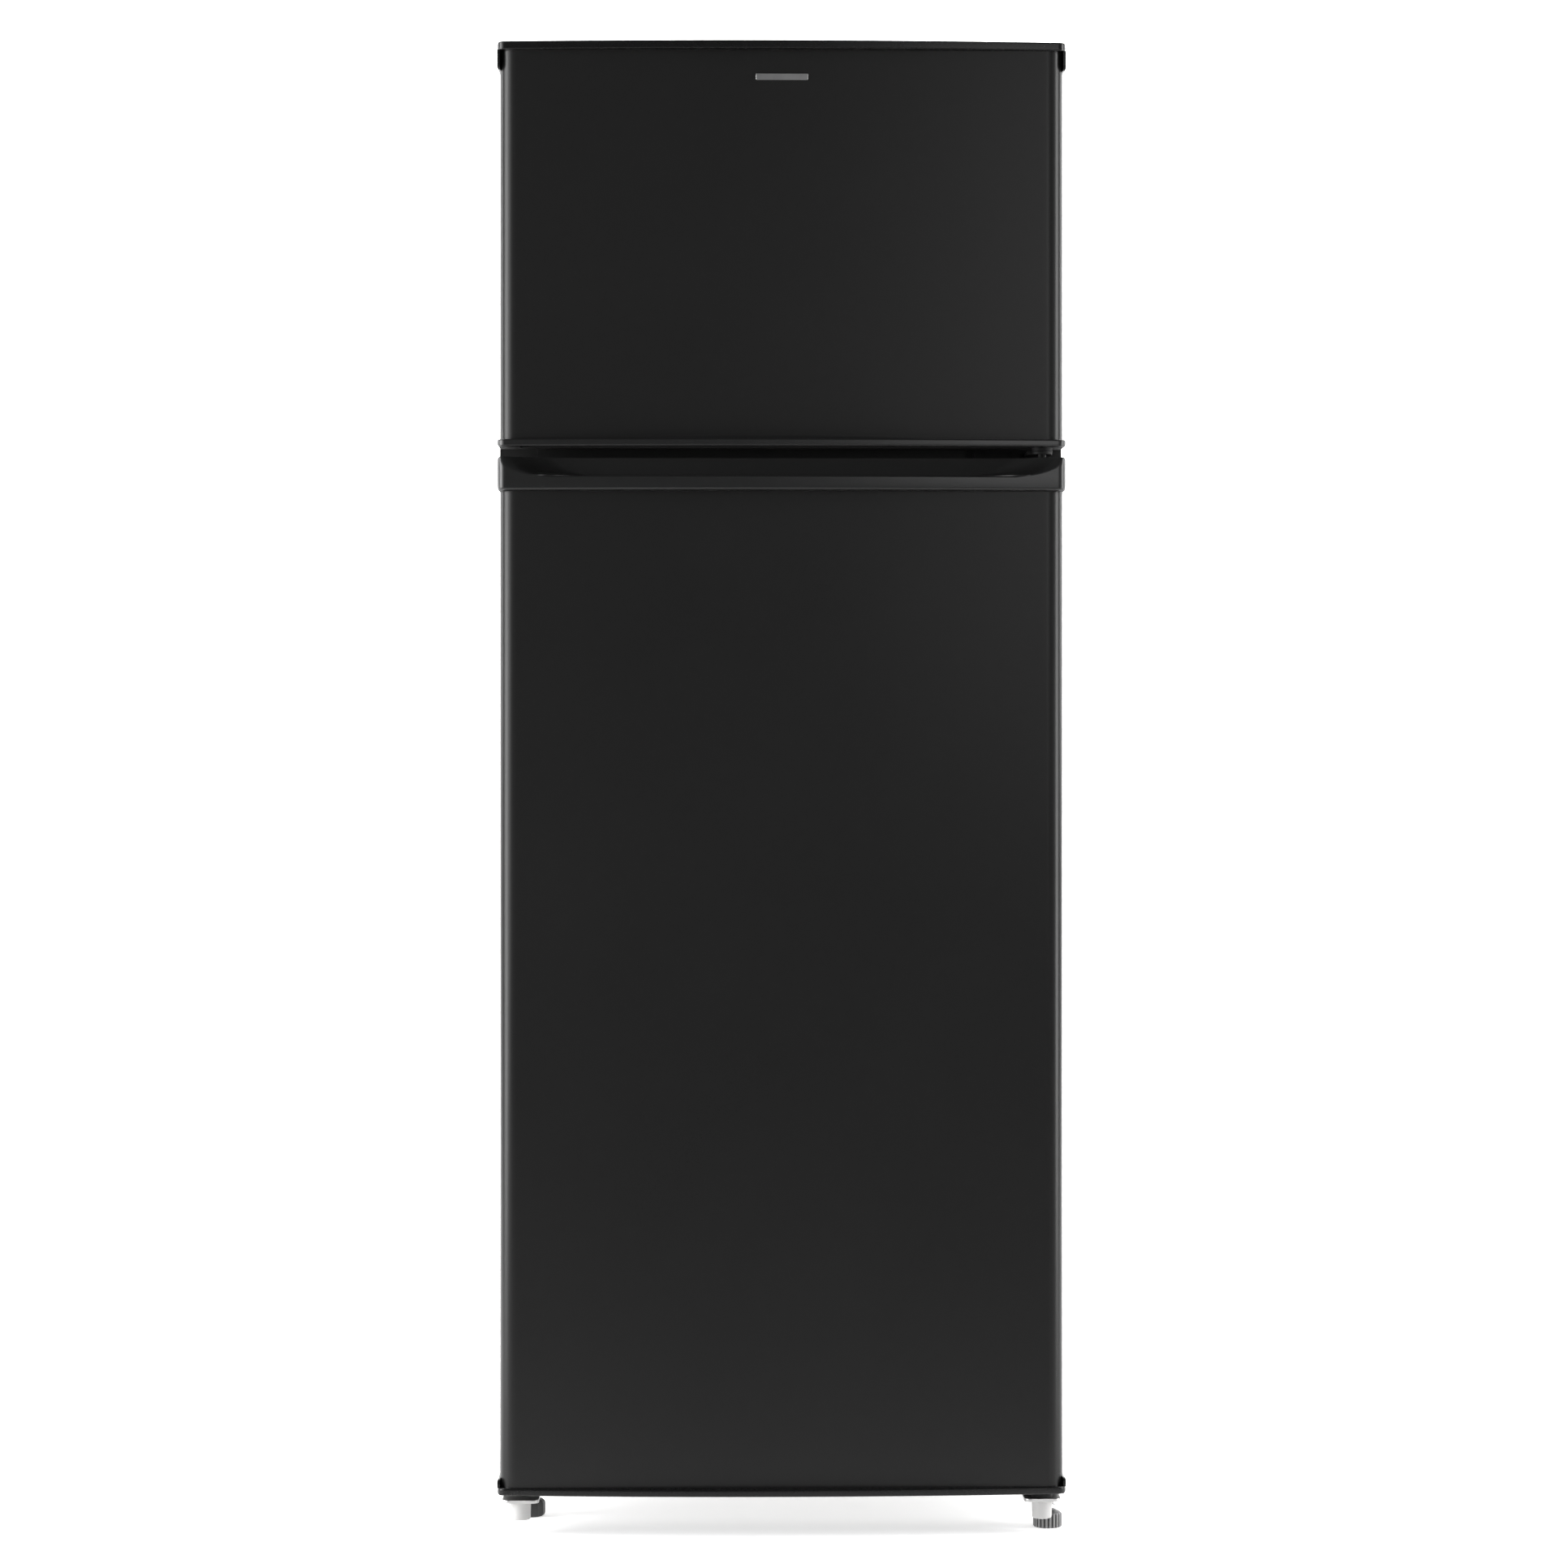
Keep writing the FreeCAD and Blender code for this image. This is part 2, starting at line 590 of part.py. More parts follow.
def make_top_cap():
    body = new_body("freezer_door_top_cap")
    floor = "door_top - cap_lip_height"
    block(body, "XY", "door_top - top_cap_band", "door_top", cap_plan())
    soften(body, front_corner, "cap_round")
    wall = "cap_centre - sqrt((cap_arc - cap_lip_wall) ^ 2 - (half_width - cap_lip_wall) ^ 2)"
    behind = [("0 - (half_width - cap_lip_wall)", wall, "cap_arc - cap_lip_wall"),
              ("half_width - cap_lip_wall", wall), ("half_width + 1", wall), ("half_width + 1", "door_back + 1"),
              ("0 - (half_width + 1)", "door_back + 1"), ("0 - (half_width + 1)", wall)]
    carve(body, "XY", floor, "door_top + 1", behind)
    skirts(body, "door_top - top_cap_skirt", "door_top - top_cap_band")
    low, high = "door_top - top_cap_band - cap_tuck", "door_top - top_cap_band"
    tuck(body, low, high)
    bush_hole(body, low, floor)


def make_freezer_trim():
    body = new_body("freezer_door_bottom_trim")
    band = "freezer_low + trim_band"
    block(body, "XY", "freezer_low", band, cap_plan())
    soften(body, front_corner, "cap_round")
    inset = "skin_sheet + skin_round * 0.3 + 0.1"
    block(body, "XY", band, f"{band} + cap_tuck", skin_plan(inset, "grip_wall + cap_wall"))
    carve(body, "XY", "freezer_low", "freezer_low + grip_rise", grip_loop())
    bush_hole(body, "freezer_low", f"{band} + cap_tuck")


def make_handle_cap():
    body = new_body("fridge_door_handle_cap")
    low = "fridge_top - handle_band"
    block(body, "XY", low, "fridge_top", cap_plan())
    soften(body, front_corner, "cap_round")
    carve(body, "XY", "fridge_top - grip_drop", "fridge_top", grip_loop())
    lip = "fridge_top - lip_drop"
    scoop = [("0 - grip_end", "fridge_top", "sweep_radius"), ("0 - grip_half", lip),
             ("grip_half", lip, "sweep_radius"), ("grip_end", "fridge_top")]
    carve(body, "XZ", "door_front - 1", "cap_edge + grip_lip", scoop)
    carve(body, "XY", low, "fridge_top - 4", mirror_rect("half_width - 40", "grip_wall + 3", "door_back - 3"))
    for side in HINGE_SIDES.values():
        carve(body, "XY", "fridge_top - bush_length", "fridge_top", circle(side, "hinge_y", "bush_radius"))


def make_bottom_cap():
    body = new_body("fridge_door_bottom_cap")
    band = "door_underside + bottom_cap_band"
    block(body, "XY", "door_underside", band, cap_plan())
    soften(body, front_corner, "cap_round")
    skirts(body, band, "door_underside + bottom_cap_skirt")
    tuck(body, band, f"{band} + cap_tuck")
    bush_hole(body, "door_underside", f"{band} + cap_tuck")


make_top_cap()
make_freezer_trim()
make_handle_cap()
make_bottom_cap()


# ---------------------------------------------------------------- door bushes and badge
def bush(label, low, flange_low):
    """Plastic sleeve for a hinge pin, with a flange that rides on the hinge plate where one is asked for."""
    body = new_body(label, keep=False)
    block(body, "XY", low, f"{low} + bush_length", circle("hinge_x", "hinge_y", "bush_radius"))
    if flange_low:
        block(body, "XY", flange_low, low, circle("hinge_x", "hinge_y", "bush_flange"))
    carve(body, "XY", flange_low or low, f"{low} + bush_length", circle("hinge_x", "hinge_y", "pin_radius + pin_play"))
    return body


gather("freezer_door_bushes", [
    bush("freezer_top_bush", "door_top - cap_lip_height - bush_length", None),
    bush("freezer_lower_bush", "freezer_low", "plate_low + hinge_plate + flange_play")])
gather("fridge_door_bushes", [
    bush("fridge_top_bush", "fridge_top - bush_length", None),
    bush("fridge_lower_bush", "door_underside", "bracket_high + flange_play")])
solid_box("blank_badge", ("0 - badge_length / 2", "badge_length / 2"),
          ("skin_edge - skin_bulge - 0.7", "skin_edge - skin_bulge"),
          ("door_top - badge_drop - badge_height / 2", "door_top - badge_drop + badge_height / 2"))

# ---------------------------------------------------------------- door racks
door_rack("fridge_door_bottle_rack", "(fridge_floor + dike_inset + dike_width + 9)", "bottle_rack_height",
          "bottle_reach", "(fridge_dike - dike_width - rack_play)")
FRIDGE_RACK = "(fridge_dike - dike_width - rack_play)"
FREEZER_RACK = "(freezer_dike - dike_width - rack_play)"
gather("fridge_door_racks", [
    door_rack("fridge_middle_rack", "(fridge_floor + 380)", "rack_height", "rack_reach", FRIDGE_RACK, keep=False),
    door_rack("fridge_upper_rack", "(fridge_floor + 640)", "rack_height", "rack_reach", FRIDGE_RACK, keep=False)])
FREEZER_REACH = "(rack_reach * 0.8)"
FREEZER_FIRST = "(mullion_high + dike_inset + dike_width + 9)"
gather("freezer_door_racks", [
    door_rack("freezer_lower_rack", FREEZER_FIRST, "rack_height", FREEZER_REACH, FREEZER_RACK, keep=False),
    door_rack("freezer_upper_rack", "(mullion_high + 165)", "rack_height", FREEZER_REACH, FREEZER_RACK, keep=False)])


# ---------------------------------------------------------------- cabinet
def make_wrap():
    """Painted steel sides and top in one fold, with a front flange that the seals close on."""
    body = new_body("cabinet_wrap")
    block(body, "XY", "cabinet_underside", "cabinet_top", mirror_rect("half_width", "cabinet_front", "cabinet_back"))
    soften(body, lambda e: spans(e)[1] > 50 and near(e.BoundBox.ZMin, "cabinet_top"), "4")
    carve(body, "XY", "cabinet_underside - 1", "cabinet_top - steel_sheet",
          mirror_rect("half_width - steel_sheet", "cabinet_front + steel_sheet", "cabinet_back + 1"))
    carve(body, "XZ", "cabinet_front - 1", "cabinet_front + 2 * steel_sheet",
          mirror_rect("half_width - flange_width", "cabinet_underside + flange_width", "cabinet_top - flange_width"))
    for x, y in TOP_SCREWS:
        carve(body, "XY", "cabinet_top - 2 * steel_sheet", "cabinet_top + 1", circle(x, y, "screw_radius"))


def fridge_side(grow):
    """Side view of the fridge compartment, which steps over the compressor bay."""
    low, high = f"fridge_floor - {grow}", f"mullion_low + {grow}"
    return [("cabinet_front", low), (f"step_front + {grow}", low), (f"step_front + {grow}", f"step_top - {grow}"),
            (f"inner_back + {grow}", f"step_top - {grow}"), (f"inner_back + {grow}", high), ("cabinet_front", high)]


def make_freezer_liner():
    body = new_body("freezer_liner")
    grow = "liner_sheet"
    block(body, "XZ", "cabinet_front", f"inner_back + {grow}",
          mirror_rect(f"freezer_half + {grow}", f"mullion_high - {grow}", f"freezer_ceiling + {grow}"))
    carve(body, "XZ", "cabinet_front", "inner_back", mirror_rect("freezer_half", "mullion_high", "freezer_ceiling"))
    inside = lambda e: spans(e)[1] > 50 and abs(e.BoundBox.XMin) < number("freezer_half + 0.1") \
        and number("mullion_high - 0.1") < e.BoundBox.ZMin < number("freezer_ceiling + 0.1")
    soften(body, inside, "liner_round")
    block(body, "XZ", "cabinet_front", "cabinet_front + liner_sheet",
          mirror_rect("half_width - flange_width - 0.1", "mullion_high + 0.1", "cabinet_top - flange_width - 0.1"))
    carve(body, "XZ", "cabinet_front", "cabinet_front + liner_sheet + 1",
          mirror_rect("freezer_half", "mullion_high + 0.1", "freezer_ceiling"))


def make_fridge_liner():
    """Vacuum-formed white liner with moulded ledges for the shelves."""
    body = new_body("fridge_liner")
    block(body, "YZ", "0 - (fridge_half + liner_sheet)", "fridge_half + liner_sheet", fridge_side("liner_sheet"))
    carve(body, "YZ", "0 - fridge_half", "fridge_half", fridge_side("0"))
    inside = lambda e: spans(e)[1] > 50 and abs(e.BoundBox.XMin) < number("fridge_half + 0.1") \
        and number("fridge_floor - 0.1") < e.BoundBox.ZMin < number("mullion_low + 0.1")
    soften(body, inside, "liner_round")
    block(body, "XZ", "cabinet_front", "cabinet_front + liner_sheet",
          mirror_rect("half_width - flange_width - 0.1", "cabinet_underside + flange_width + 0.1", "mullion_low - 0.1"))
    carve(body, "XZ", "cabinet_front", "cabinet_front + liner_sheet + 1",
          mirror_rect("fridge_half", "fridge_floor", "mullion_low - 0.1"))
    for sign in (1, -1):
        inner, outer = f"fridge_half - rail_width", "fridge_half + 0.5"
        low, high = (inner, outer) if sign > 0 else (f"0 - ({outer})", f"0 - ({inner})")
        ledge = block(body, "YZ", low, high,
                      rect("shelf_edge", "shelf_end", "rail_first - rail_height", "rail_first"))
        repeat = body.newObject("PartDesign::LinearPattern", body.Label + "_ledges")
        repeat.Originals = [ledge]
        repeat.Direction = (ledge.Profile[0], ["V_Axis"])
        repeat.setExpression("Length", rule("rail_pitch * 2"))
        repeat.Occurrences = 3
        body.Tip = repeat
        doc.recompute()


def make_foam():
    """Foam block between the wrap and the liners, stepped over the compressor bay."""
    body = new_body("cabinet_foam")
    block(body, "XZ", "cabinet_front + liner_sheet", "cabinet_back - steel_sheet",
          mirror_rect("half_width - steel_sheet", "cabinet_underside + steel_sheet", "cabinet_top - steel_sheet"))
    soften(body, lambda e: spans(e)[1] > 50 and near(e.BoundBox.ZMin, "cabinet_top - steel_sheet"), "4")
    carve(body, "XZ", "cabinet_front + liner_sheet - 1", "inner_back + liner_sheet",
          mirror_rect("freezer_half + liner_sheet", "mullion_high - liner_sheet", "freezer_ceiling + liner_sheet"))
    carve(body, "YZ", "0 - (fridge_half + liner_sheet)", "fridge_half + liner_sheet", fridge_side("liner_sheet"))
    carve(body, "XZ", "bay_front - steel_sheet", "cabinet_back",
          mirror_rect("half_width", "cabinet_underside", "bay_top + steel_sheet"))
    for name in ("freezer", "fridge"):
        carve(body, "XZ", "inner_back + liner_sheet - 1", "inner_back + liner_sheet + 3.2", PLATE_OUTLINES[name])
    for x, y in TOP_SCREWS:
        carve(body, "XY", "cabinet_top - screw_length", "cabinet_top", circle(x, y, "screw_radius"))
    for x, z in MIDDLE_SCREWS:
        carve(body, "XZ", "cabinet_front", "cabinet_front + screw_length", circle(x, z, "screw_radius"))


TOP_SCREWS = [("hinge_x - 30", "cabinet_front + 22"), ("hinge_x - 4", "cabinet_front + 22"),
              ("hinge_x - 17", "cabinet_front + 44")]
MIDDLE_SCREWS = [("hinge_x - 21.5", "fridge_top + door_gap / 2"), ("hinge_x - 60", "fridge_top + door_gap / 2")]
PLATE_OUTLINES = {
    "freezer": mirror_rect("freezer_half - 30", "mullion_high + 40", "freezer_ceiling - 40"),
    "fridge": mirror_rect("fridge_half - 60", "mullion_low - 330", "mullion_low - 70"),
}
make_wrap()
make_freezer_liner()
make_fridge_liner()
make_foam()

plates = new_body("evaporator_plates")
for loop in PLATE_OUTLINES.values():
    block(plates, "XZ", "inner_back + liner_sheet", "inner_back + liner_sheet + 3", loop)

back = new_body("back_panel")
block(back, "XZ", "cabinet_back - steel_sheet", "cabinet_back",
      mirror_rect("half_width - steel_sheet - 0.1", "bay_top + 0.1", "cabinet_top - steel_sheet - 4"))

bottom = new_body("cabinet_bottom")
block(bottom, "YZ", "0 - (half_width - steel_sheet - 0.1)", "half_width - steel_sheet - 0.1",
      [("cabinet_front + steel_sheet", "cabinet_underside"), ("bay_front", "cabinet_underside"), ("bay_front", "bay_top"),
       ("cabinet_back - steel_sheet", "bay_top"), ("cabinet_back - steel_sheet", "bay_top + steel_sheet"),
       ("bay_front - steel_sheet", "bay_top + steel_sheet"), ("bay_front - steel_sheet", "cabinet_underside + steel_sheet"),
       ("cabinet_front + steel_sheet", "cabinet_underside + steel_sheet")])

crossbar = new_body("crossbar")
block(crossbar, "XZ", "cabinet_front", "cabinet_front + liner_sheet",
      mirror_rect("half_width - flange_width", "mullion_low + liner_sheet + 0.1", "mullion_high - liner_sheet - 0.1"))
for x, z in MIDDLE_SCREWS:
    carve(crossbar, "XZ", "cabinet_front - 1", "cabinet_front + liner_sheet + 1", circle(x, z, "screw_radius"))


# ---------------------------------------------------------------- hinges
def screw(label, axis, sign, x, y, z):
    """Pan-head screw: the shank runs into the cabinet and the head stands outside the plate."""
    shank = solid_rod(label + "_shank", axis, x, y, z, "screw_radius", "screw_length", keep=False)
    step = {"Z": (x, y, f"{z} + ({sign})"), "Y": (x, f"{y} + ({sign})", z)}[axis]
    head = solid_rod(label + "_head", axis, *step, "screw_head", "2.4", keep=False)
    whole = doc.addObject("Part::Fuse", label)
    whole.Base = shank
    whole.Tool = head
    return whole


def make_top_hinge():
    """Flat steel arm on the cabinet's top, with a riveted pin that goes down into the freezer door."""
    body = new_body("top_hinge")
    high = "cabinet_top + hinge_plate"
    block(body, "XY", "cabinet_top", high, rect("hinge_x - 42", "hinge_x + 8", "cabinet_front + 8", "cabinet_front + 56"))
    soften(body, upright, "6")
    block(body, "XY", "cabinet_top", high,
          rect("hinge_x - arm_half", "hinge_x + arm_half", "hinge_y", "cabinet_front + 20"))
    block(body, "XY", "cabinet_top", high, circle("hinge_x", "hinge_y", "arm_half"))
    block(body, "XY", "cabinet_top - 12", high, circle("hinge_x", "hinge_y", "pin_radius"))
    for x, y in TOP_SCREWS:
        carve(body, "XY", "cabinet_top", high, circle(x, y, "screw_radius"))


def make_hinge_cover():
    """Low plastic cover over the top hinge's plate and screws."""
    body = new_body("top_hinge_cover")
    low, high = "cabinet_top", "overall_height"
    block(body, "XY", low, high, rect("hinge_x - 52", "hinge_x + 18", "cabinet_front + 3", "cabinet_front + 70"))
    soften(body, upright, "8")
    carve(body, "XY", low, f"{high} - 1.2",
          rect("hinge_x - 46", "hinge_x + 12", "cabinet_front + 6", "cabinet_front + 62"))
    carve(body, "XY", low, f"{high} - 1.2",
          rect("hinge_x - arm_half - 1", "hinge_x + arm_half + 1", "cabinet_front + 2", "cabinet_front + 8"))


def make_middle_hinge():
    """Bent bracket on the crossbar. Its pin goes up into the freezer door and down into the fridge door."""
    body = new_body("middle_hinge")
    high = "plate_low + hinge_plate"
    block(body, "XY", "plate_low", high,
          rect("hinge_x - 14", "hinge_x + bush_flange", "hinge_y", "cabinet_front - hinge_flange"))
    block(body, "XY", "plate_low", high, circle("hinge_x", "hinge_y", "bush_flange"))
    block(body, "XZ", "cabinet_front - hinge_flange", "cabinet_front",
          rect("hinge_x - 70", "hinge_x + bush_flange", "plate_low - 9", f"{high} + 9"))
    for x, z in MIDDLE_SCREWS:
        carve(body, "XZ", "cabinet_front - hinge_flange", "cabinet_front", circle(x, z, "screw_radius"))
    block(body, "XY", "plate_low - 13", f"{high} + 14", circle("hinge_x", "hinge_y", "pin_radius"))


make_top_hinge()
make_hinge_cover()
make_middle_hinge()
gather("hinge_screws", [
    screw(f"top_screw_{k}", "Z", "screw_length", x, y, "cabinet_top + hinge_plate - screw_length")
    for k, (x, y) in enumerate(TOP_SCREWS)] + [
    screw(f"middle_screw_{k}", "Y", "0 - 2.4", x, "cabinet_front - hinge_flange", z)
    for k, (x, z) in enumerate(MIDDLE_SCREWS)])


# ---------------------------------------------------------------- base rail, front brackets, sleeves and feet
FOOT = {
    "right": ("half_width - right_foot_inset", "cap_edge + right_foot_setback"),
    "left": ("0 - (half_width - left_foot_inset)", "cap_edge + left_foot_setback"),
}
BRACKET_SCREWS = {side: [(f"{sign}(hinge_x - 8)", "cabinet_front + 20"), (f"{sign}(hinge_x + 8)", "cabinet_front + 20")]
                  for side, sign in (("right", ""), ("left", "0 - "))}


def make_base_rail():
    """Steel cross member under the cabinet's front, which both brackets are screwed to."""
    body = new_body("front_base_rail")
    block(body, "XY", "bracket_high", "cabinet_underside",
          mirror_rect("half_width - 3", "cabinet_front + 2", "cabinet_front + 2 + rail_depth"))
    carve(body, "XY", "bracket_high + 2", "cabinet_underside - 1.5",
          mirror_rect("half_width - 3 - 60", "cabinet_front + 4", "cabinet_front + rail_depth"))
    for side in ("right", "left"):
        for x, y in BRACKET_SCREWS[side]:
            carve(body, "XY", "bracket_high", "cabinet_underside", circle(x, y, "screw_radius"))
        x, y = FOOT[side]
        if side == "left":
            carve(body, "XY", "bracket_high", "cabinet_underside", circle(x, y, "foot_stud + 4"))


def make_bracket(side, sign, label, pin_high):
    """Flat front bracket that reaches forward under the door, with a pin through it."""
    body = new_body(label)
    x = f"{sign}hinge_x"
    low_x, high_x = f"{x} - bracket_half", f"{x} + bracket_half"
    block(body, "XY", "bracket_low", "bracket_high", rect(low_x, high_x, "hinge_y - 12", "cabinet_front + 2 + rail_depth"))
    soften(body, lambda e: upright(e) and e.BoundBox.YMin < number("hinge_y"), "7")
    foot_x, foot_y = FOOT[side]
    carve(body, "XY", "bracket_low", "bracket_high", circle(foot_x, foot_y, "foot_stud + pin_play"))
    for hole_x, hole_y in BRACKET_SCREWS[side]:
        carve(body, "XY", "bracket_low", "bracket_high", circle(hole_x, hole_y, "screw_radius"))
    block(body, "XY", "sleeve_low + 4", pin_high, circle(x, "hinge_y", "pin_radius"))


def make_sleeve(side, x):
    """White plastic sleeve round the tail of the pin below a bracket."""
    body = new_body(f"{side}_pin_sleeve", keep=False)
    lathe(body, x, "hinge_y", [("pin_radius", "sleeve_low + 4"), ("pin_radius", "bracket_low"),
                               ("sleeve_radius", "bracket_low"), ("sleeve_radius", "sleeve_low + 1.5"),
                               ("sleeve_radius - 1.5", "sleeve_low"), ("2.2", "sleeve_low"), ("2.2", "sleeve_low + 4")])
    return body


def make_foot(side):
    """Levelling foot: a ribbed knob moulded on a threaded stud."""
    body = new_body(f"{side}_levelling_foot")
    x, y = FOOT[side]
    top = "bracket_high + 3"
    lathe(body, x, y, [("0", "0"), ("foot_radius - 1", "0"), ("foot_radius", "1"), ("foot_radius", "foot_height - 3"),
                       ("foot_radius - 3", "foot_height"), ("foot_stud", "foot_height"), ("foot_stud", top), ("0", top)])
    count = 20
    ring = []
    for k in range(count):
        turn = 360 * k / count
        ring.append(circle(f"{x} + (foot_radius + 0.5) * {math.cos(math.radians(turn)):.6f}",
                           f"{y} + (foot_radius + 0.5) * {math.sin(math.radians(turn)):.6f}", "1.3"))
    carve(body, "XY", "1", "foot_height - 2.5", *ring)


make_base_rail()
make_bracket("right", "", "bottom_hinge", "door_underside + 14")
make_bracket("left", "0 - ", "left_front_bracket", "bracket_high")
gather("pin_sleeves", [make_sleeve("right", "hinge_x"), make_sleeve("left", "0 - hinge_x")])
bracket_screws = [screw(f"{side}_bracket_screw_{k}", "Z", "0 - 2.4", x, y, "bracket_low")
                  for side in ("right", "left") for k, (x, y) in enumerate(BRACKET_SCREWS[side])]
for one in bracket_screws:
    one.Base.setExpression("Height", rule("cabinet_underside - bracket_low"))
gather("bracket_screws", bracket_screws)
make_foot("right")
make_foot("left")


def make_lock_nut():
    """Hexagon nut and dished washer on the right foot's stud, tight under the bracket."""
    x, y = FOOT["right"]
    nut = new_body("foot_nut", keep=False)
    across = "7.5"
    slant = f"({across} * 0.5774)"
    hexagon = [(f"{x} + {slant} * 2", y), (f"{x} + {slant}", f"{y} + {across}"), (f"{x} - {slant}", f"{y} + {across}"),
               (f"{x} - {slant} * 2", y), (f"{x} - {slant}", f"{y} - {across}"), (f"{x} + {slant}", f"{y} - {across}")]
    block(nut, "XY", "bracket_low - 6.5", "bracket_low", hexagon)
    carve(nut, "XY", "bracket_low - 6.5", "bracket_low", circle(x, y, "foot_stud + pin_play"))
    washer = new_body("foot_washer", keep=False)
    lathe(washer, x, y, [("foot_stud + pin_play", "bracket_low - 8"), ("11", "bracket_low - 9.5"),
                         ("11", "bracket_low - 8"), ("foot_stud + pin_play", "bracket_low - 6.5")])
    gather("foot_lock_nut", [nut, washer])


make_lock_nut()


# ---------------------------------------------------------------- rear rollers and compressor base
def make_rollers():
    """Two rear rollers, each on an axle held by the ears of the compressor base."""
    axle_y = "cabinet_back - roller_setback"
    for side, sign in (("right", ""), ("left", "0 - ")):
        middle = f"({sign}(half_width - roller_inset))"
        low = f"{middle} - roller_width / 2"
        roller = new_body(f"{side}_rear_roller")
        block(roller, "YZ", low, f"{low} + roller_width", circle(axle_y, "roller_radius", "roller_radius"))
        soften(roller, lambda e: spans(e)[1] > number("roller_radius * 2 - 0.1"), "1.5")
        carve(roller, "YZ", low, f"{low} + roller_width", circle(axle_y, "roller_radius", "axle_radius + pin_play"))
    axles = [solid_rod(f"{side}_axle", "X", f"{sign}(half_width - roller_inset) - roller_width / 2 - 5", axle_y,
                       "roller_radius", "axle_radius", "roller_width + 10", keep=False)
             for side, sign in (("right", ""), ("left", "0 - "))]
    gather("roller_axles", axles)


def make_base_plate():
    """Compressor base plate with folded ears for the rollers."""
    body = new_body("compressor_base")
    low = "cabinet_underside - base_sheet - 4"
    block(body, "XY", low, f"{low} + base_sheet", mirror_rect("half_width - 2", "bay_front - 4", "cabinet_back - 2"))
    block(body, "XZ", "bay_front - 4", "bay_front - 4 + base_sheet",
          mirror_rect("half_width - 2", low, "cabinet_underside"))
    axle_y = "cabinet_back - roller_setback"
    for sign in ("", "0 - "):
        middle = f"({sign}(half_width - roller_inset))"
        for offset in ("0 - roller_width / 2 - 3", "roller_width / 2 + 1"):
            start = f"{middle} + ({offset})"
            block(body, "YZ", start, f"{start} + base_sheet",
                  rect(f"{axle_y} - 8", f"{axle_y} + 8", "roller_radius - 7", f"{low} + base_sheet"))
            carve(body, "YZ", start, f"{start} + base_sheet", circle(axle_y, "roller_radius", "axle_radius"))
    for x, y in GROMMETS:
        carve(body, "XY", low, f"{low} + base_sheet", circle(x, y, "5"))


GROMMETS = [("40 + 78", "bay_front + 40"), ("40 + 78", "bay_front + 120"),
            ("40 - 78", "bay_front + 40"), ("40 - 78", "bay_front + 120")]
make_rollers()
make_base_plate()


# ---------------------------------------------------------------- cooling system
def make_compressor():
    """Hermetic compressor: a domed shell with a weld seam, standing on a foot plate and rubber grommets."""
    plate_low = "(cabinet_underside - 4 + 7)"
    body = new_body("compressor")
    lathe(body, "40", "bay_front + 80",
          [("0", f"{plate_low} + 4"), ("44", f"{plate_low} + 4"), ("58", f"{plate_low} + 16"),
           ("58", f"{plate_low} + 62"), ("61", f"{plate_low} + 62"), ("61", f"{plate_low} + 66"),
           ("58", f"{plate_low} + 66"), ("58", f"{plate_low} + 92"), ("42", f"{plate_low} + 108"),
           ("22", "tray_level"), ("0", "tray_level")])
    block(body, "XY", plate_low, f"{plate_low} + 4", rect("40 - 90", "40 + 90", "bay_front + 28", "bay_front + 132"))
    for x, y in GROMMETS:
        carve(body, "XY", plate_low, f"{plate_low} + 4", circle(x, y, "5"))
    pads = []
    for k, (x, y) in enumerate(GROMMETS):
        pads.append(solid_rod(f"grommet_{k}", "Z", x, y, "cabinet_underside - 4", "9", "7", keep=False))
    gather("compressor_grommets", pads)
    solid_box("start_relay_box", ("40 + 61.5", "40 + 88"), ("bay_front + 56", "bay_front + 104"),
              (f"{plate_low} + 30", f"{plate_low} + 84"))


def make_drip_tray():
    """Evaporation tray above the compressor, fed by the drain hose."""
    body = new_body("evaporation_tray")
    block(body, "XY", "tray_level", "tray_level + 26", rect("0 - 60", "140", "bay_front + 20", "bay_front + 140"))
    soften(body, upright, "10")
    carve(body, "XY", "tray_level + 2", "tray_level + 26", rect("0 - 57", "137", "bay_front + 23", "bay_front + 137"))


def make_condenser():
    """Wire-on-tube condenser on the back: one serpentine tube with upright wires on both sides."""
    tube_radius = 2.5
    wire_radius = 0.9
    half = number("condenser_half")
    middle_y = number("cabinet_back + condenser_space - 4.5")
    low, high, pitch = number("condenser_low"), number("condenser_high"), number("run_pitch")
    points = []
    for k in range(16):
        ends = (-half, half) if k % 2 == 0 else (half, -half)
        points += [Vector(x, middle_y, high - k * pitch) for x in ends]
    points.append(Vector(points[-1].x, middle_y, number("bay_top - 20")))
    sweep_tube("condenser_tube", points, tube_radius, pitch * 0.35)
    wires = []
    count = 26
    for face in (-1, 1):
        for k in range(count):
            x = -half + 30 + k * (2 * half - 60) / (count - 1)
            y = middle_y + face * (tube_radius + wire_radius)
            wires.append(Part.makeCylinder(wire_radius, high - low + 40, Vector(x, y, low - 20)))
    grid = doc.addObject("Part::Feature", "condenser_wires")
    grid.Label = "condenser_wires"
    grid.Shape = Part.makeCompound(wires)
    NODES["condenser_wires"] = grid


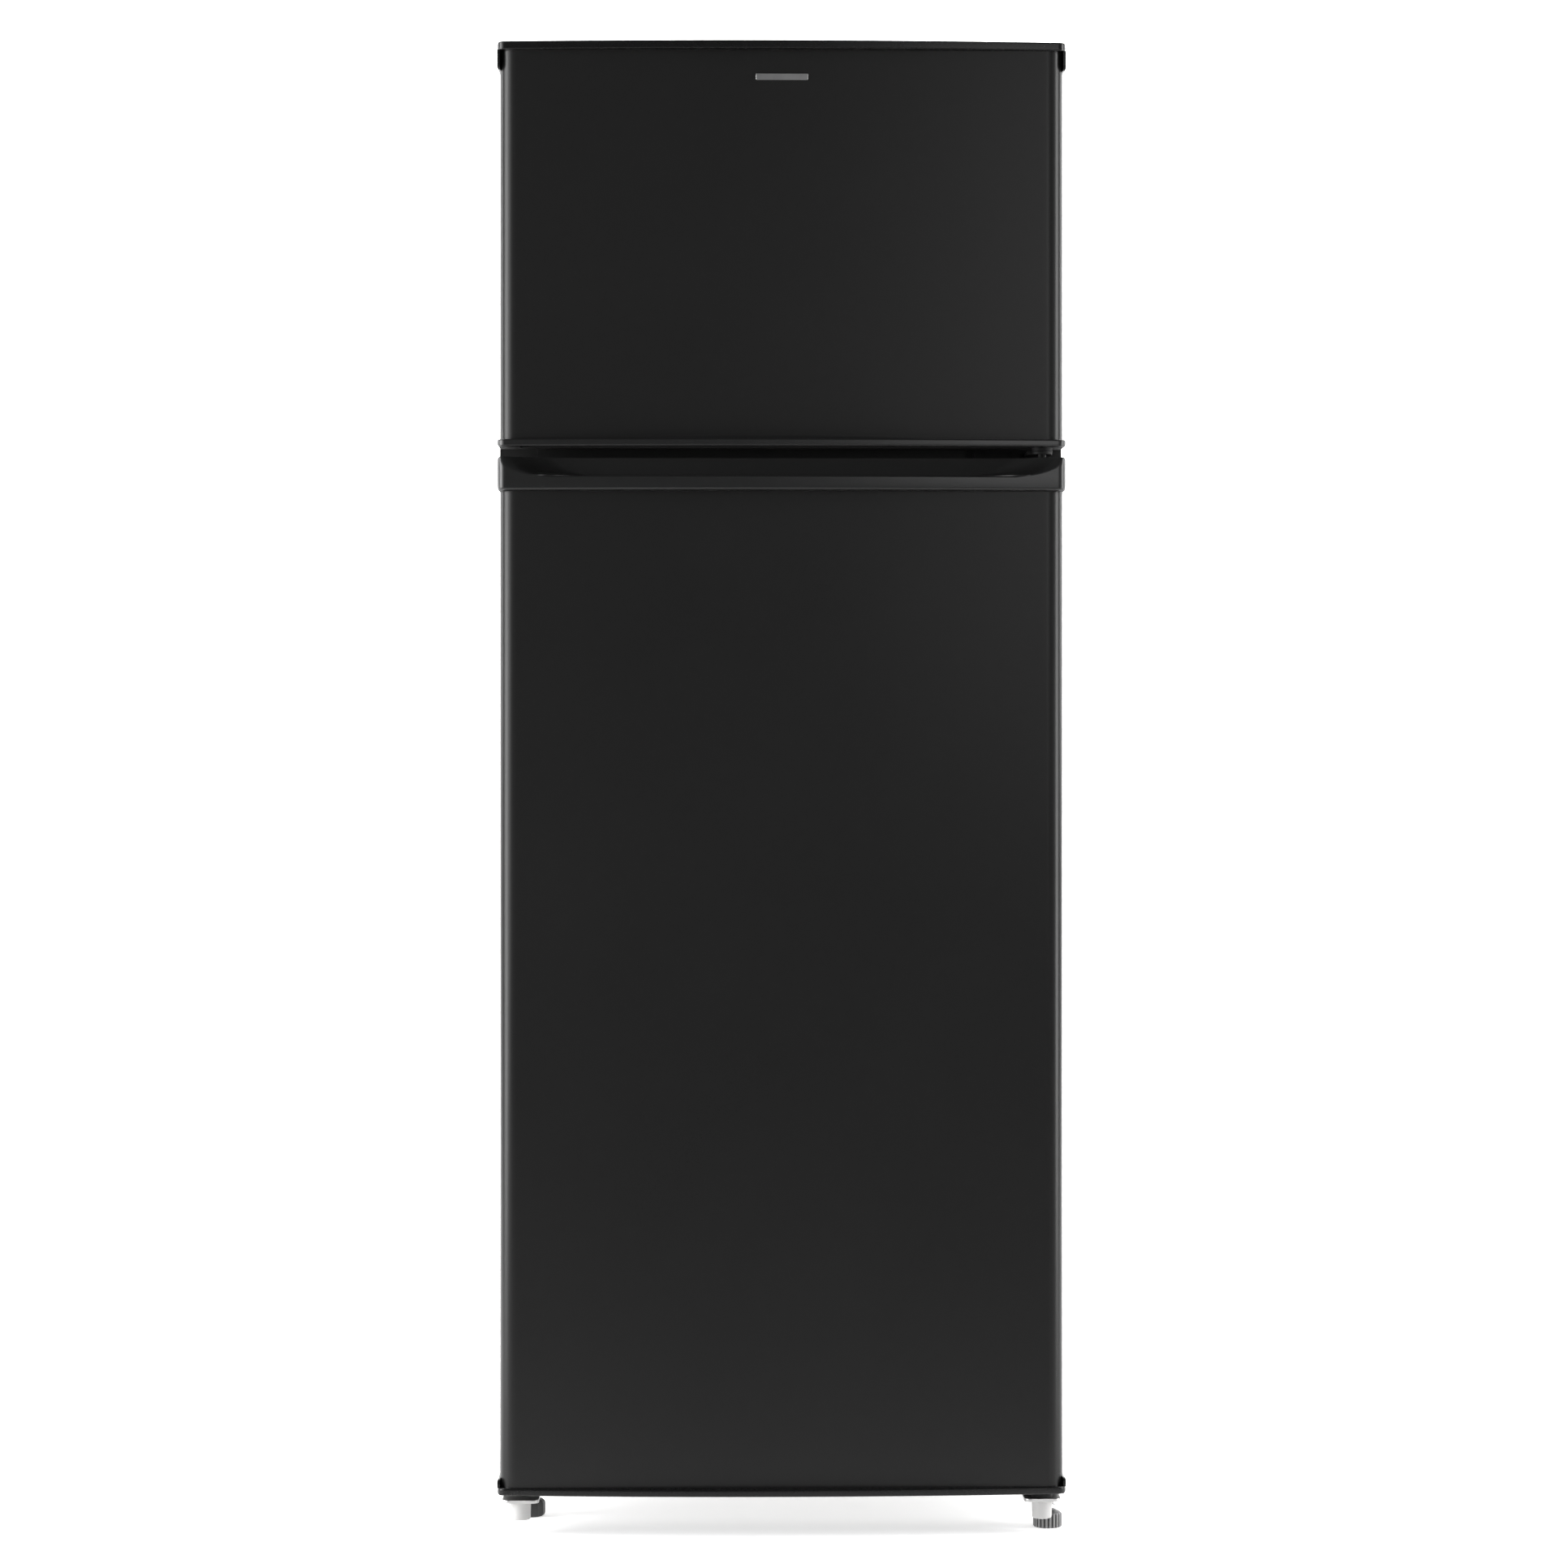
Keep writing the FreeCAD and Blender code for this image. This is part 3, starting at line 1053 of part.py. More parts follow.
def make_spacers():
    """Four plastic blocks on the cabinet's back that carry the condenser and keep it off the room's wall."""
    boxes, bores = [], []
    spots = [(side, run) for side in ("", "0 - ") for run in (1, 13)]
    for k, (sign, run) in enumerate(spots):
        level = f"(condenser_high - run_pitch * {run})"
        middle = f"{sign}(condenser_half - 38)"
        boxes.append(solid_box(f"spacer_{k}", (f"{middle} - 5.5", f"{middle} + 5.5"), ("cabinet_back", "overall_depth / 2"),
                               (f"{level} - 14", f"{level} + 14"), keep=False))
        bores.append(solid_rod(f"spacer_bore_{k}", "X", f"{middle} - 8", "cabinet_back + condenser_space - 4.5", level,
                               "2.55", "16", keep=False))
    blocks = gather("spacer_blocks", boxes, keep=False)
    holes = gather("spacer_bores", bores, keep=False)
    made = doc.addObject("Part::Cut", "wall_spacers")
    made.Label = "wall_spacers"
    made.Base = blocks
    made.Tool = holes
    NODES["wall_spacers"] = made
    doc.recompute()


def make_lines():
    """Copper discharge line from the compressor and the filter drier that it ends in."""
    bay, floor = number("bay_front"), number("cabinet_underside")
    line = sweep_tube("discharge_tube", [Vector(-17.8, bay + 80, floor + 50), Vector(-80, bay + 80, floor + 50),
                                         Vector(-80, bay + 110, floor + 14), Vector(-150, bay + 110, floor + 14),
                                         Vector(-150, bay + 110, floor + 30)], 3, 7, keep=False)
    drier = solid_rod("filter_drier", "Z", "0 - 150", "bay_front + 110", "cabinet_underside + 30", "9", "90", keep=False)
    gather("discharge_line", [line, drier])


make_compressor()
make_drip_tray()
make_condenser()
make_spacers()
make_lines()

gland = new_body("power_cord_gland")
block(gland, "XZ", "cabinet_back", "cabinet_back + 12", circle("0 - (half_width - 60)", "bay_top + 30", "7"))
carve(gland, "XZ", "cabinet_back", "cabinet_back + 12", circle("0 - (half_width - 60)", "bay_top + 30", "3.5"))


# ---------------------------------------------------------------- fridge and freezer fittings
SHELF_LEVELS = ["rail_first", "(rail_first + rail_pitch)", "(rail_first + rail_pitch * 2)"]


def make_shelves():
    """Three glass plates, each with a plastic trim clipped on its front edge and one on its rear edge."""
    plates = []
    trims = new_body("shelf_trims")
    for k, level in enumerate(SHELF_LEVELS):
        plates.append(solid_box(f"glass_{k}", ("0 - shelf_half", "shelf_half"), ("shelf_edge + 3", "shelf_end - 3"),
                                (level, f"{level} + glass_sheet"), keep=False))
        middle = f"({level} + glass_sheet / 2)"
        half = "shelf_half - rail_width - 1"
        for low, high in (("shelf_edge", "shelf_edge + 12"), ("shelf_end - 12", "shelf_end")):
            block(trims, "YZ", f"0 - ({half})", half,
                  rect(low, high, f"{middle} - shelf_trim / 2", f"{middle} + shelf_trim / 2"))
        carve(trims, "YZ", f"0 - ({half})", half, rect("shelf_edge + 3", "shelf_end - 3", level, f"{level} + glass_sheet"))
    gather("shelf_glass", plates)


def make_crisper():
    """Clear drawer with a stepped back that clears the compressor bay."""
    body = new_body("crisper_drawer")

    def side(shrink, top):
        wall = f"{shrink}"
        return [(f"shelf_edge + {wall}", f"crisper_low + {wall}"), (f"step_front - crisper_play - {wall}", f"crisper_low + {wall}"),
                (f"step_front - crisper_play - {wall}", f"step_top + crisper_play + {wall}"),
                (f"shelf_end - {wall}", f"step_top + crisper_play + {wall}"), (f"shelf_end - {wall}", top),
                (f"shelf_edge + {wall}", top)]

    block(body, "YZ", "0 - crisper_half", "crisper_half", side("0", "crisper_top"))
    soften(body, lambda e: upright(e) and e.BoundBox.YMin < number("shelf_edge + 1"), "10")
    carve(body, "YZ", "0 - (crisper_half - crisper_sheet)", "crisper_half - crisper_sheet",
          side("crisper_sheet", "crisper_top + 1"))
    block(body, "XY", "crisper_top - 26", "crisper_top - 18",
          mirror_rect("90", "shelf_edge - 5", "shelf_edge + 1"))


make_shelves()
make_crisper()


def make_wire_shelf():
    """Coated wire shelf of the freezer: a frame of rods under a row of thinner wires."""
    level = number("mullion_high + freezer_shelf_rise")
    half, front, rear = number("freezer_half - 2"), number("shelf_edge"), number("shelf_end")
    frame, wire = 2.6, 1.4
    rods = [Part.makeCylinder(frame, 2 * half, Vector(-half, y, level), Vector(1, 0, 0))
            for y in (front + frame, (front + rear) / 2, rear - frame)]
    count = 22
    for k in range(count):
        x = -half + 12 + k * (2 * half - 24) / (count - 1)
        rods.append(Part.makeCylinder(wire, rear - front, Vector(x, front, level + frame + wire * 0.4), Vector(0, 1, 0)))
    shelf = doc.addObject("Part::Feature", "freezer_wire_shelf")
    shelf.Label = "freezer_wire_shelf"
    shelf.Shape = rods[0].fuse(rods[1:]).removeSplitter()
    NODES["freezer_wire_shelf"] = shelf


def make_thermostat():
    """Thermostat and lamp box on the right wall, with its knob and lens."""
    face = "(fridge_half - 44)"
    body = new_body("thermostat_box")
    block(body, "XY", "mullion_low - 150", "mullion_low - 28", rect(face, "fridge_half", "0 - 60", "90"))
    soften(body, lambda e: upright(e) and near(e.BoundBox.XMin, face), "10")
    carve(body, "YZ", face, "fridge_half - 6", rect("15", "78", "mullion_low - 132", "mullion_low - 46"))
    carve(body, "YZ", f"{face} - 1", f"{face} + 10", circle("0 - 24", "mullion_low - 89", "3 + pin_play"))
    solid_box("lamp_lens", (f"{face} - 1.5", f"{face} + 0.5"), ("15.2", "77.8"), ("mullion_low - 131.8", "mullion_low - 46.2"))
    knob = new_body("thermostat_knob")
    block(knob, "YZ", f"{face} - 13", f"{face} - 0.5", circle("0 - 24", "mullion_low - 89", "17"))
    soften(knob, lambda e: near(e.BoundBox.XMin, f"{face} - 13") and spans(e)[1] > 10, "1.5")
    block(knob, "YZ", f"{face} - 0.5", f"{face} + 9", circle("0 - 24", "mullion_low - 89", "3"))
    block(knob, "YZ", f"{face} - 17", f"{face} - 12", rect("0 - 27", "0 - 21", "mullion_low - 104", "mullion_low - 74"))


def make_door_switch():
    """Light switch under the compartment's ceiling. The door's ridge holds its plunger in."""
    tip = "(door_back + dike_height + 0.4)"
    level = "(mullion_low - dike_inset - dike_width / 2)"
    body = new_body("door_switch_box")
    block(body, "XZ", f"{tip} + 8", f"{tip} + 40", rect("140", "170", f"{level} - 10", "mullion_low"))
    carve(body, "XZ", f"{tip} + 8", f"{tip} + 30", circle("155", level, "4 + pin_play"))
    solid_rod("door_switch_plunger", "Y", "155", tip, level, "4", "22")


make_wire_shelf()
make_thermostat()
make_door_switch()


# ---------------------------------------------------------------- check and write
def write_nodes():
    """Checks every object and every sub-part, then writes one STEP file for each node."""
    doc.recompute()
    for item in doc.Objects:
        if any(word in ("Invalid", "Error") for word in item.State):
            raise RuntimeError(f"{item.Label} failed: {item.State}")
    os.makedirs("parts", exist_ok=True)
    for label, item in NODES.items():
        shape = item.Shape
        if shape.isNull() or not shape.isValid() or not shape.Solids:
            raise RuntimeError(f"{label} has no valid solid")
        shape.exportStep(f"parts/{label}.step")
    print(len(NODES), "nodes written")


write_nodes()
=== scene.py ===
# %% [markdown]
# # A top freezer refrigerator in Blender
# The frame comes first. It brings in every CAD node at its true place, in metres, with +Z up and the doors facing -Y.
# All that follows either gives such a node a finish or lays a more detailed surface over it, so nothing is ever
# fitted by eye: each size is read from the frame or is a depth that only the surface has.

# %% Load the frame
import math
import bmesh
import bpy
import numpy as np
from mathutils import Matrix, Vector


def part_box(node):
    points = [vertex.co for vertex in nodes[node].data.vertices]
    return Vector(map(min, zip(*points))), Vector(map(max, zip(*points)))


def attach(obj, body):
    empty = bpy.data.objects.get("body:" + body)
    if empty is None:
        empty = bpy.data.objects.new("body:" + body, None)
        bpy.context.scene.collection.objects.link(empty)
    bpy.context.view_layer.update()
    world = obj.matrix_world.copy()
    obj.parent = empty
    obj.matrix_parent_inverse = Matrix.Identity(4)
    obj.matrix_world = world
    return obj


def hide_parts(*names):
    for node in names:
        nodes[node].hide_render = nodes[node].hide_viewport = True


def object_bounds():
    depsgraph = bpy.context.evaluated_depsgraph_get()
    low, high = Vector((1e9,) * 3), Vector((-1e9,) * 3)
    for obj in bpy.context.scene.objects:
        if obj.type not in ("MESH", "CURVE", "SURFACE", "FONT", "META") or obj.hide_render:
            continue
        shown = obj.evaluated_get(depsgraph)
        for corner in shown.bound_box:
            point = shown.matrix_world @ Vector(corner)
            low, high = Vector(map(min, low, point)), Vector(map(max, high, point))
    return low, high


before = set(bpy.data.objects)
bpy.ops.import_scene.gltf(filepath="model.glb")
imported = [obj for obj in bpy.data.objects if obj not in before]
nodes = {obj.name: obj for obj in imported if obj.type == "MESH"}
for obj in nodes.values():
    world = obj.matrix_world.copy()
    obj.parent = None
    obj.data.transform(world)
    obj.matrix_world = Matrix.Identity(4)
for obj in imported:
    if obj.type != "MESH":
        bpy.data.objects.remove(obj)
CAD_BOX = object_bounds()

MM = 0.001
low, high = (np.array(corner) for corner in CAD_BOX)
print("nodes:", len(nodes), "box in mm:", np.round(low / MM), np.round(high / MM))


def span(node):
    """Lowest and highest corner of a CAD node, in millimetres."""
    return tuple(np.array(corner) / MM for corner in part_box(node))


# %% [markdown]
# ## Grids of points into meshes
# A shape here is a whole array of points: rows run one way over the surface and columns the other. One helper joins
# neighbouring points with four-sided faces, closes the ends, merges what meets at a seam, and turns every face
# outwards. It could be done with extrusions by hand, but an array states the formula of the shape once.

# %% From points to an object
def faces_of_grid(rows, cols, wrap):
    """Quads between neighbours of a rows x cols grid; wrap also joins the last column to the first."""
    index = np.arange(rows * cols).reshape(rows, cols)
    if wrap:
        index = np.hstack([index, index[:, :1]])
    return np.stack([index[:-1, :-1], index[1:, :-1], index[1:, 1:], index[:-1, 1:]], axis=-1).reshape(-1, 4)


def finish_mesh(name, parts, smooth=40, weld=0.00001):
    """One object from (points in mm, faces) parts: doubles merged, faces outwards, edges over an angle kept sharp."""
    points, faces, start = [], [], 0
    for xyz, quads in parts:
        points.append(np.asarray(xyz, float).reshape(-1, 3) * MM)
        faces += [[int(k) + start for k in face] for face in quads]
        start += len(points[-1])
    mesh = bpy.data.meshes.new(name)
    mesh.from_pydata(np.concatenate(points).tolist(), [], faces)
    work = bmesh.new()
    work.from_mesh(mesh)
    bmesh.ops.remove_doubles(work, verts=work.verts, dist=weld)
    bmesh.ops.dissolve_degenerate(work, dist=weld, edges=work.edges)
    bmesh.ops.recalc_face_normals(work, faces=work.faces)
    work.to_mesh(mesh)
    work.free()
    mesh.shade_smooth()
    mesh.set_sharp_from_angle(angle=math.radians(smooth))
    piece = bpy.data.objects.new(name, mesh)
    bpy.context.scene.collection.objects.link(piece)
    return piece


def tube_of_rings(rings, wrap=True, ends=True):
    """Points and faces of rings (n, m, 3) joined one to the next, with a flat face over the first and last ring."""
    n, m = rings.shape[:2]
    faces = faces_of_grid(n, m, wrap).tolist()
    if ends:
        faces += [list(range(m)), list(range((n - 1) * m, n * m))]
    return rings.reshape(-1, 3), faces


def even_shading(piece):
    """Weighs corner normals by face area, so that a broad flat face stays flat beside its rounded edge."""
    weighted = piece.modifiers.new("even", "WEIGHTED_NORMAL")
    weighted.keep_sharp = True
    return piece


print("grid test:", faces_of_grid(3, 4, True).shape)

# %% [markdown]
# ## The camera
# The appliance is seen from 4 m in front and a little above half its height, with a long lens held level, so its
# uprights stay parallel. The lens shift moves the frame a little, as an architect's view camera does, and the
# viewpoint is a degree to the left of the middle.

# %% Camera
VIEW_DISTANCE, VIEW_HEIGHT, VIEW_SIDE = 4.0, 0.78, math.radians(1.0)
IMAGE, SENSOR_MM, CAP_TO_SKIN = 1932, 36, 0.017
FOCAL_PIXELS, HORIZON_ROW, MIDDLE_COLUMN = 5145, 888.5, 963.4
front_plane = low[1] + CAP_TO_SKIN
lens = bpy.data.cameras.new("view")
lens.sensor_width = SENSOR_MM
lens.lens = lens.sensor_width * FOCAL_PIXELS / IMAGE
lens.shift_y = (HORIZON_ROW - IMAGE / 2) / IMAGE
lens.shift_x = (IMAGE / 2 - MIDDLE_COLUMN) / IMAGE
lens.clip_end = 60
camera = bpy.data.objects.new("view", lens)
camera.location = (-VIEW_DISTANCE * math.sin(VIEW_SIDE),
                   front_plane - VIEW_DISTANCE * math.cos(VIEW_SIDE), VIEW_HEIGHT)
camera.rotation_euler = (math.pi / 2, 0, -VIEW_SIDE)
bpy.context.scene.collection.objects.link(camera)
bpy.context.scene.camera = camera
print("lens mm:", round(lens.lens, 1))

# %% [markdown]
# ## Writing finishes as sums
# A finish is a small program of shader nodes. Wrapping each socket in a class that understands + - * / lets the
# program be read as arithmetic, and a single method makes every other kind of node from its type, its settings
# and the values of its sockets.

# %% A socket that does arithmetic
class Wire:
    """A shader socket. Arithmetic on it adds Math nodes to the same finish."""

    def __init__(self, finish, socket):
        self.finish, self.socket = finish, socket

    def math(self, operation, *others):
        values = dict(enumerate((self,) + others))
        return self.finish.make("ShaderNodeMath", {"operation": operation}, values)

    def __add__(self, other):
        return self.math("ADD", other)

    def __mul__(self, other):
        return self.math("MULTIPLY", other)

    def __sub__(self, other):
        return self.math("SUBTRACT", other)

    __radd__, __rmul__ = __add__, __mul__

    def clamp(self, low_end, high_end):
        return self.math("MAXIMUM", low_end).math("MINIMUM", high_end)


class Finish:
    """A material built round one Principled shader."""

    def __init__(self, name, **fixed):
        self.material = bpy.data.materials.new(name)
        self.material.use_nodes = True
        self.tree = self.material.node_tree
        self.shader = self.tree.nodes["Principled BSDF"]
        for socket, value in fixed.items():
            self.shader.inputs[socket.replace("_", " ")].default_value = value
        self.material.diffuse_color = tuple(fixed.get("Base_Color", (0.5, 0.5, 0.5, 1)))

    def make(self, kind, settings=None, values=None, out=0):
        """Adds a node: its settings first, then the values or wires of its sockets; returns one output."""
        node = self.tree.nodes.new(kind)
        for key, value in (settings or {}).items():
            setattr(node, key, value)
        for key, value in (values or {}).items():
            self.plug(node.inputs[key], value)
        return Wire(self, node.outputs[out])

    def plug(self, socket, value):
        if isinstance(value, Wire):
            self.tree.links.new(value.socket, socket)
        else:
            socket.default_value = value

    def feed(self, socket, value):
        self.plug(self.shader.inputs[socket], value)

    def place(self):
        return self.make("ShaderNodeTexCoord", out="Object")

    def axis(self, letter):
        """One of the object's own coordinates, in metres."""
        return self.make("ShaderNodeSeparateXYZ", {}, {"Vector": self.place()}, out=letter)

    def noise(self, scale, detail=3.0, rough=0.55, stretch=None):
        """Noise from 0 to 1 over the object's own coordinates; scale is in cycles per metre."""
        where = self.place()
        if stretch:
            where = self.make("ShaderNodeMapping", {}, {"Vector": where, "Scale": stretch})
        values = {"Vector": where, "Scale": scale, "Detail": detail, "Roughness": rough}
        return self.make("ShaderNodeTexNoise", {}, values)

    def grain(self, *layers):
        """A bump from (height wire, depth in metres) layers, one on top of the other."""
        normal = None
        for height, depth in layers:
            values = {"Height": height, "Distance": depth, "Strength": 1.0}
            if normal is not None:
                values["Normal"] = normal
            normal = self.make("ShaderNodeBump", {}, values)
        self.feed("Normal", normal)

    def blend(self, amount, first, second):
        """Colour that goes from first to second as amount goes from 0 to 1."""
        return self.make("ShaderNodeMix", {"data_type": "RGBA"}, {0: amount, 6: first, 7: second}, out=2)


def grey(value, warm=0.0):
    """A neutral colour, a little warmer or cooler."""
    return (value * (1 + warm), value, value * (1 - warm), 1.0)


print("finish class ready")

# %% [markdown]
# ## Painted steel
# The doors are rolled steel sheet, painted before it is folded. Paint of this kind is never a mirror: it has a very
# fine leather-like grain that breaks up reflections, so the black reads as a soft charcoal. Two sizes of noise give
# the grain, and a slow one lets the sheen drift a little across a door.

# %% Painted steel for doors and cabinet
def painted_steel(name, shade, roughness, grain_depth, grain_scale, gloss=0.5):
    """Dark paint over a fine leather grain; gloss is the strength of its reflection, 0.5 for bare plastic."""
    paint = Finish(name, Roughness=roughness, Base_Color=grey(shade), Specular_IOR_Level=gloss)
    drift = paint.noise(3.0, 2.0)
    speck = paint.noise(grain_scale, 2.0)
    paint.feed("Base Color", paint.blend(drift * 0.7 + speck * 0.3, grey(shade * 0.82), grey(shade * 1.22, 0.01)))
    paint.feed("Roughness", (roughness - 0.05) + drift * 0.06 + speck * 0.04)
    paint.grain((paint.noise(grain_scale, 2.0), grain_depth), (paint.noise(55.0, 1.0), grain_depth * 0.6))
    return paint


DOOR_PAINT = painted_steel("door_paint", 0.0125, 0.29, 0.00002, 1400.0, 0.16)
CABINET_PAINT = painted_steel("cabinet_paint", 0.012, 0.5, 0.00006, 700.0, 0.25)
HINGE_PAINT = painted_steel("hinge_paint", 0.004, 0.6, 0.00003, 900.0, 0.25)
SHELL_PAINT = painted_steel("compressor_paint", 0.010, 0.30, 0.00004, 300.0)
print("paints:", len(bpy.data.materials))

# %% [markdown]
# ## Moulded plastics
# Caps, liners, racks and feet are injection moulded or vacuum formed. Each has the mould's own texture, a slow
# unevenness where the plastic shrank, and fine hairline wear that only shows as a change of roughness. The handle
# goes from glossy in front to matte inside the grip, where fingers rub it.

# %% Plastics
def moulded(name, colour, roughness, grain_scale=600.0, grain_depth=0.00002, wear=0.06, **fixed):
    """Plastic with a mould's texture and hairline wear; fixed holds values for other sockets of the shader."""
    plastic = Finish(name, Base_Color=colour, Roughness=roughness, **fixed)
    slow = plastic.noise(7.0, 2.0)
    lines = plastic.noise(60.0, 4.0, 0.7, (1.0, 9.0, 3.0))
    darker = tuple(c * 0.9 for c in colour[:3]) + (1.0,)
    lighter = tuple(min(c * 1.06, 1.0) for c in colour[:3]) + (1.0,)
    plastic.feed("Base Color", plastic.blend(slow, darker, lighter))
    plastic.feed("Roughness", (roughness - wear / 2) + lines * wear + slow * 0.03)
    plastic.grain((plastic.noise(grain_scale, 2.0), grain_depth), (plastic.noise(18.0, 1.0), 0.00012))
    return plastic


CAP_PLASTIC = moulded("cap_plastic", grey(0.006), 0.26, Specular_IOR_Level=0.25)
HANDLE_PLASTIC = moulded("handle_plastic", grey(0.011), 0.29, Specular_IOR_Level=0.4)
FINGER_MATTE_FROM, FINGER_MATTE_OVER = -0.264, 0.02
deep = ((HANDLE_PLASTIC.axis("Y") - FINGER_MATTE_FROM) * (1 / FINGER_MATTE_OVER)).clamp(0.0, 1.0)
HANDLE_PLASTIC.feed("Roughness", deep * 0.5 + HANDLE_PLASTIC.noise(60.0, 4.0) * 0.05 + 0.27)
LINER_PLASTIC = moulded("liner_plastic", grey(0.50, 0.006), 0.32, 420.0, 0.00003)
FITTING_PLASTIC = moulded("fitting_plastic", grey(0.44, 0.01), 0.38, 800.0)
DARK_PLASTIC = moulded("dark_plastic", grey(0.009), 0.6, 900.0, 0.00005, Specular_IOR_Level=0.2)
SLEEVE_PLASTIC = moulded("sleeve_plastic", grey(0.46, 0.012), 0.48, 500.0, 0.00006)
FOOT_PLASTIC = moulded("foot_plastic", grey(0.18, 0.0), 0.42, 700.0, 0.00008)
BLACK_FOOT_PLASTIC = moulded("black_foot_plastic", grey(0.022), 0.5, 700.0, 0.00008)
ROLLER_PLASTIC = moulded("roller_plastic", grey(0.09), 0.55, 500.0, 0.00008)
CLEAR_PLASTIC = moulded("clear_plastic", grey(0.86, -0.03), 0.12, 300.0, 0.00002, 0.05,
                        Transmission_Weight=0.86, IOR=1.49)
LENS_PLASTIC = moulded("lens_plastic", grey(0.92, 0.01), 0.45, 900.0, 0.0001, Transmission_Weight=0.5)
GLASS = moulded("shelf_glass", grey(0.88, -0.05), 0.05, 200.0, 0.000004, 0.02,
                Transmission_Weight=1.0, IOR=1.52)
print("paints and plastics:", len(bpy.data.materials))

# %% [markdown]
# ## Rubber, foam and bare metals
# Zinc-plated brackets have faint crystal patches and rolling lines; chrome is nearly clean; copper dulls in
# patches. The seals are soft vinyl with a dusty, matte skin. The foam is cream inside; where it meets the outer
# sheets it carries a dark film, so that no pale line shows through a seam.

# %% Rubber and metals
def metal(name, colour, roughness, patch_scale, line_stretch, depth=0.00002):
    """Bare metal: dull patches, and rolling lines along the axis whose stretch is smallest."""
    bare = Finish(name, Base_Color=colour, Roughness=roughness, Metallic=1.0)
    patches = bare.noise(patch_scale, 3.0)
    lines = bare.noise(240.0, 2.0, 0.6, line_stretch)
    dull = tuple(c * 0.72 for c in colour[:3]) + (1.0,)
    bare.feed("Base Color", bare.blend(patches, dull, colour))
    bare.feed("Roughness", (roughness - 0.08) + patches * 0.12 + lines * 0.08)
    bare.grain((lines, depth))
    return bare


ZINC = metal("zinc_steel", grey(0.56, 0.01), 0.38, 90.0, (1.0, 0.08, 1.0))
CHROME = metal("bright_chrome", grey(0.68), 0.16, 40.0, (1.0, 1.0, 0.1), 0.000005)
BADGE_METAL = metal("badge_metal", grey(0.36), 0.34, 60.0, (0.05, 1.0, 1.0), 0.00001)
ALUMINIUM = metal("rolled_aluminium", grey(0.72), 0.36, 30.0, (0.06, 1.0, 1.0))
COPPER = metal("copper_pipe", (0.68, 0.34, 0.2, 1.0), 0.32, 70.0, (1.0, 1.0, 1.0))
SEAL_RUBBER = moulded("seal_rubber", grey(0.03), 0.72, 1200.0, 0.00006)
MOUNT_RUBBER = moulded("mount_rubber", grey(0.016), 0.78, 700.0, 0.0001)
CREAM, FILM_BLACK, FILM_DEPTH, FILM_EDGE = (0.72, 0.6, 0.34, 1.0), grey(0.012), 0.0025, 0.001
FOAM = moulded("insulating_foam", CREAM, 0.9, 900.0, 0.0004)
film = 0.0
for axis, reach in zip("XYZ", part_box("cabinet_foam")[1]):
    along = FOAM.axis(axis)
    if axis == "X":
        along = (along * along).math("SQRT", 0)
    film = ((along - (reach - FILM_DEPTH)) * (1 / FILM_EDGE)).clamp(0.0, 1.0) + film
FOAM.feed("Base Color", FOAM.blend(film.clamp(0.0, 1.0), CREAM, FILM_BLACK))
print("materials:", len(bpy.data.materials))

# %% [markdown]
# ## Finishes for the CAD nodes
# Most inner pieces have their true shape already, so they only need the right finish. A table gives each node its
# own; nodes that a better surface replaces later are in it too, so that nothing is ever left bare.

# %% Give every node its finish
NODE_FINISH = {
    CABINET_PAINT: "cabinet_wrap back_panel crossbar condenser_tube condenser_wires",
    DOOR_PAINT: "freezer_door_skin fridge_door_skin",
    HINGE_PAINT: "top_hinge middle_hinge hinge_screws",
    CAP_PLASTIC: "freezer_door_top_cap freezer_door_bottom_trim fridge_door_handle_cap fridge_door_bottom_cap "
                 "top_hinge_cover",
    LINER_PLASTIC: "freezer_liner fridge_liner freezer_door_inner_panel fridge_door_inner_panel",
    FITTING_PLASTIC: "shelf_trims thermostat_box thermostat_knob door_switch_box door_switch_plunger "
                     "freezer_wire_shelf",
    DARK_PLASTIC: "freezer_door_bushes fridge_door_bushes start_relay_box evaporation_tray wall_spacers "
                  "power_cord_gland",
    SLEEVE_PLASTIC: "pin_sleeves",
    FOOT_PLASTIC: "right_levelling_foot",
    BLACK_FOOT_PLASTIC: "left_levelling_foot",
    ROLLER_PLASTIC: "right_rear_roller left_rear_roller",
    CLEAR_PLASTIC: "crisper_drawer fridge_door_racks fridge_door_bottle_rack freezer_door_racks",
    LENS_PLASTIC: "lamp_lens",
    GLASS: "shelf_glass",
    ZINC: "cabinet_bottom front_base_rail bottom_hinge left_front_bracket bracket_screws roller_axles "
          "compressor_base",
    CHROME: "foot_lock_nut",
    BADGE_METAL: "blank_badge",
    ALUMINIUM: "evaporator_plates",
    COPPER: "discharge_line",
    SHELL_PAINT: "compressor",
    SEAL_RUBBER: "freezer_door_seal fridge_door_seal",
    MOUNT_RUBBER: "compressor_grommets",
    FOAM: "cabinet_foam freezer_door_foam fridge_door_foam",
}


def wear(piece, finish):
    """The piece takes this finish and no other."""
    piece.data.materials.clear()
    piece.data.materials.append(finish.material)


for finish, names in NODE_FINISH.items():
    for name in names.split():
        wear(nodes[name], finish)
named = {name for names in NODE_FINISH.values() for name in names.split()}
print("nodes without a finish:", sorted(set(nodes) - named))

# %% [markdown]
# ## The bow of the doors
# Seen from above, the caps swell forward in one shallow arc, and their upright edges are rounded. The arc is a
# circle through both corners and the middle; each rounded edge is a smaller circle that touches it and the side.

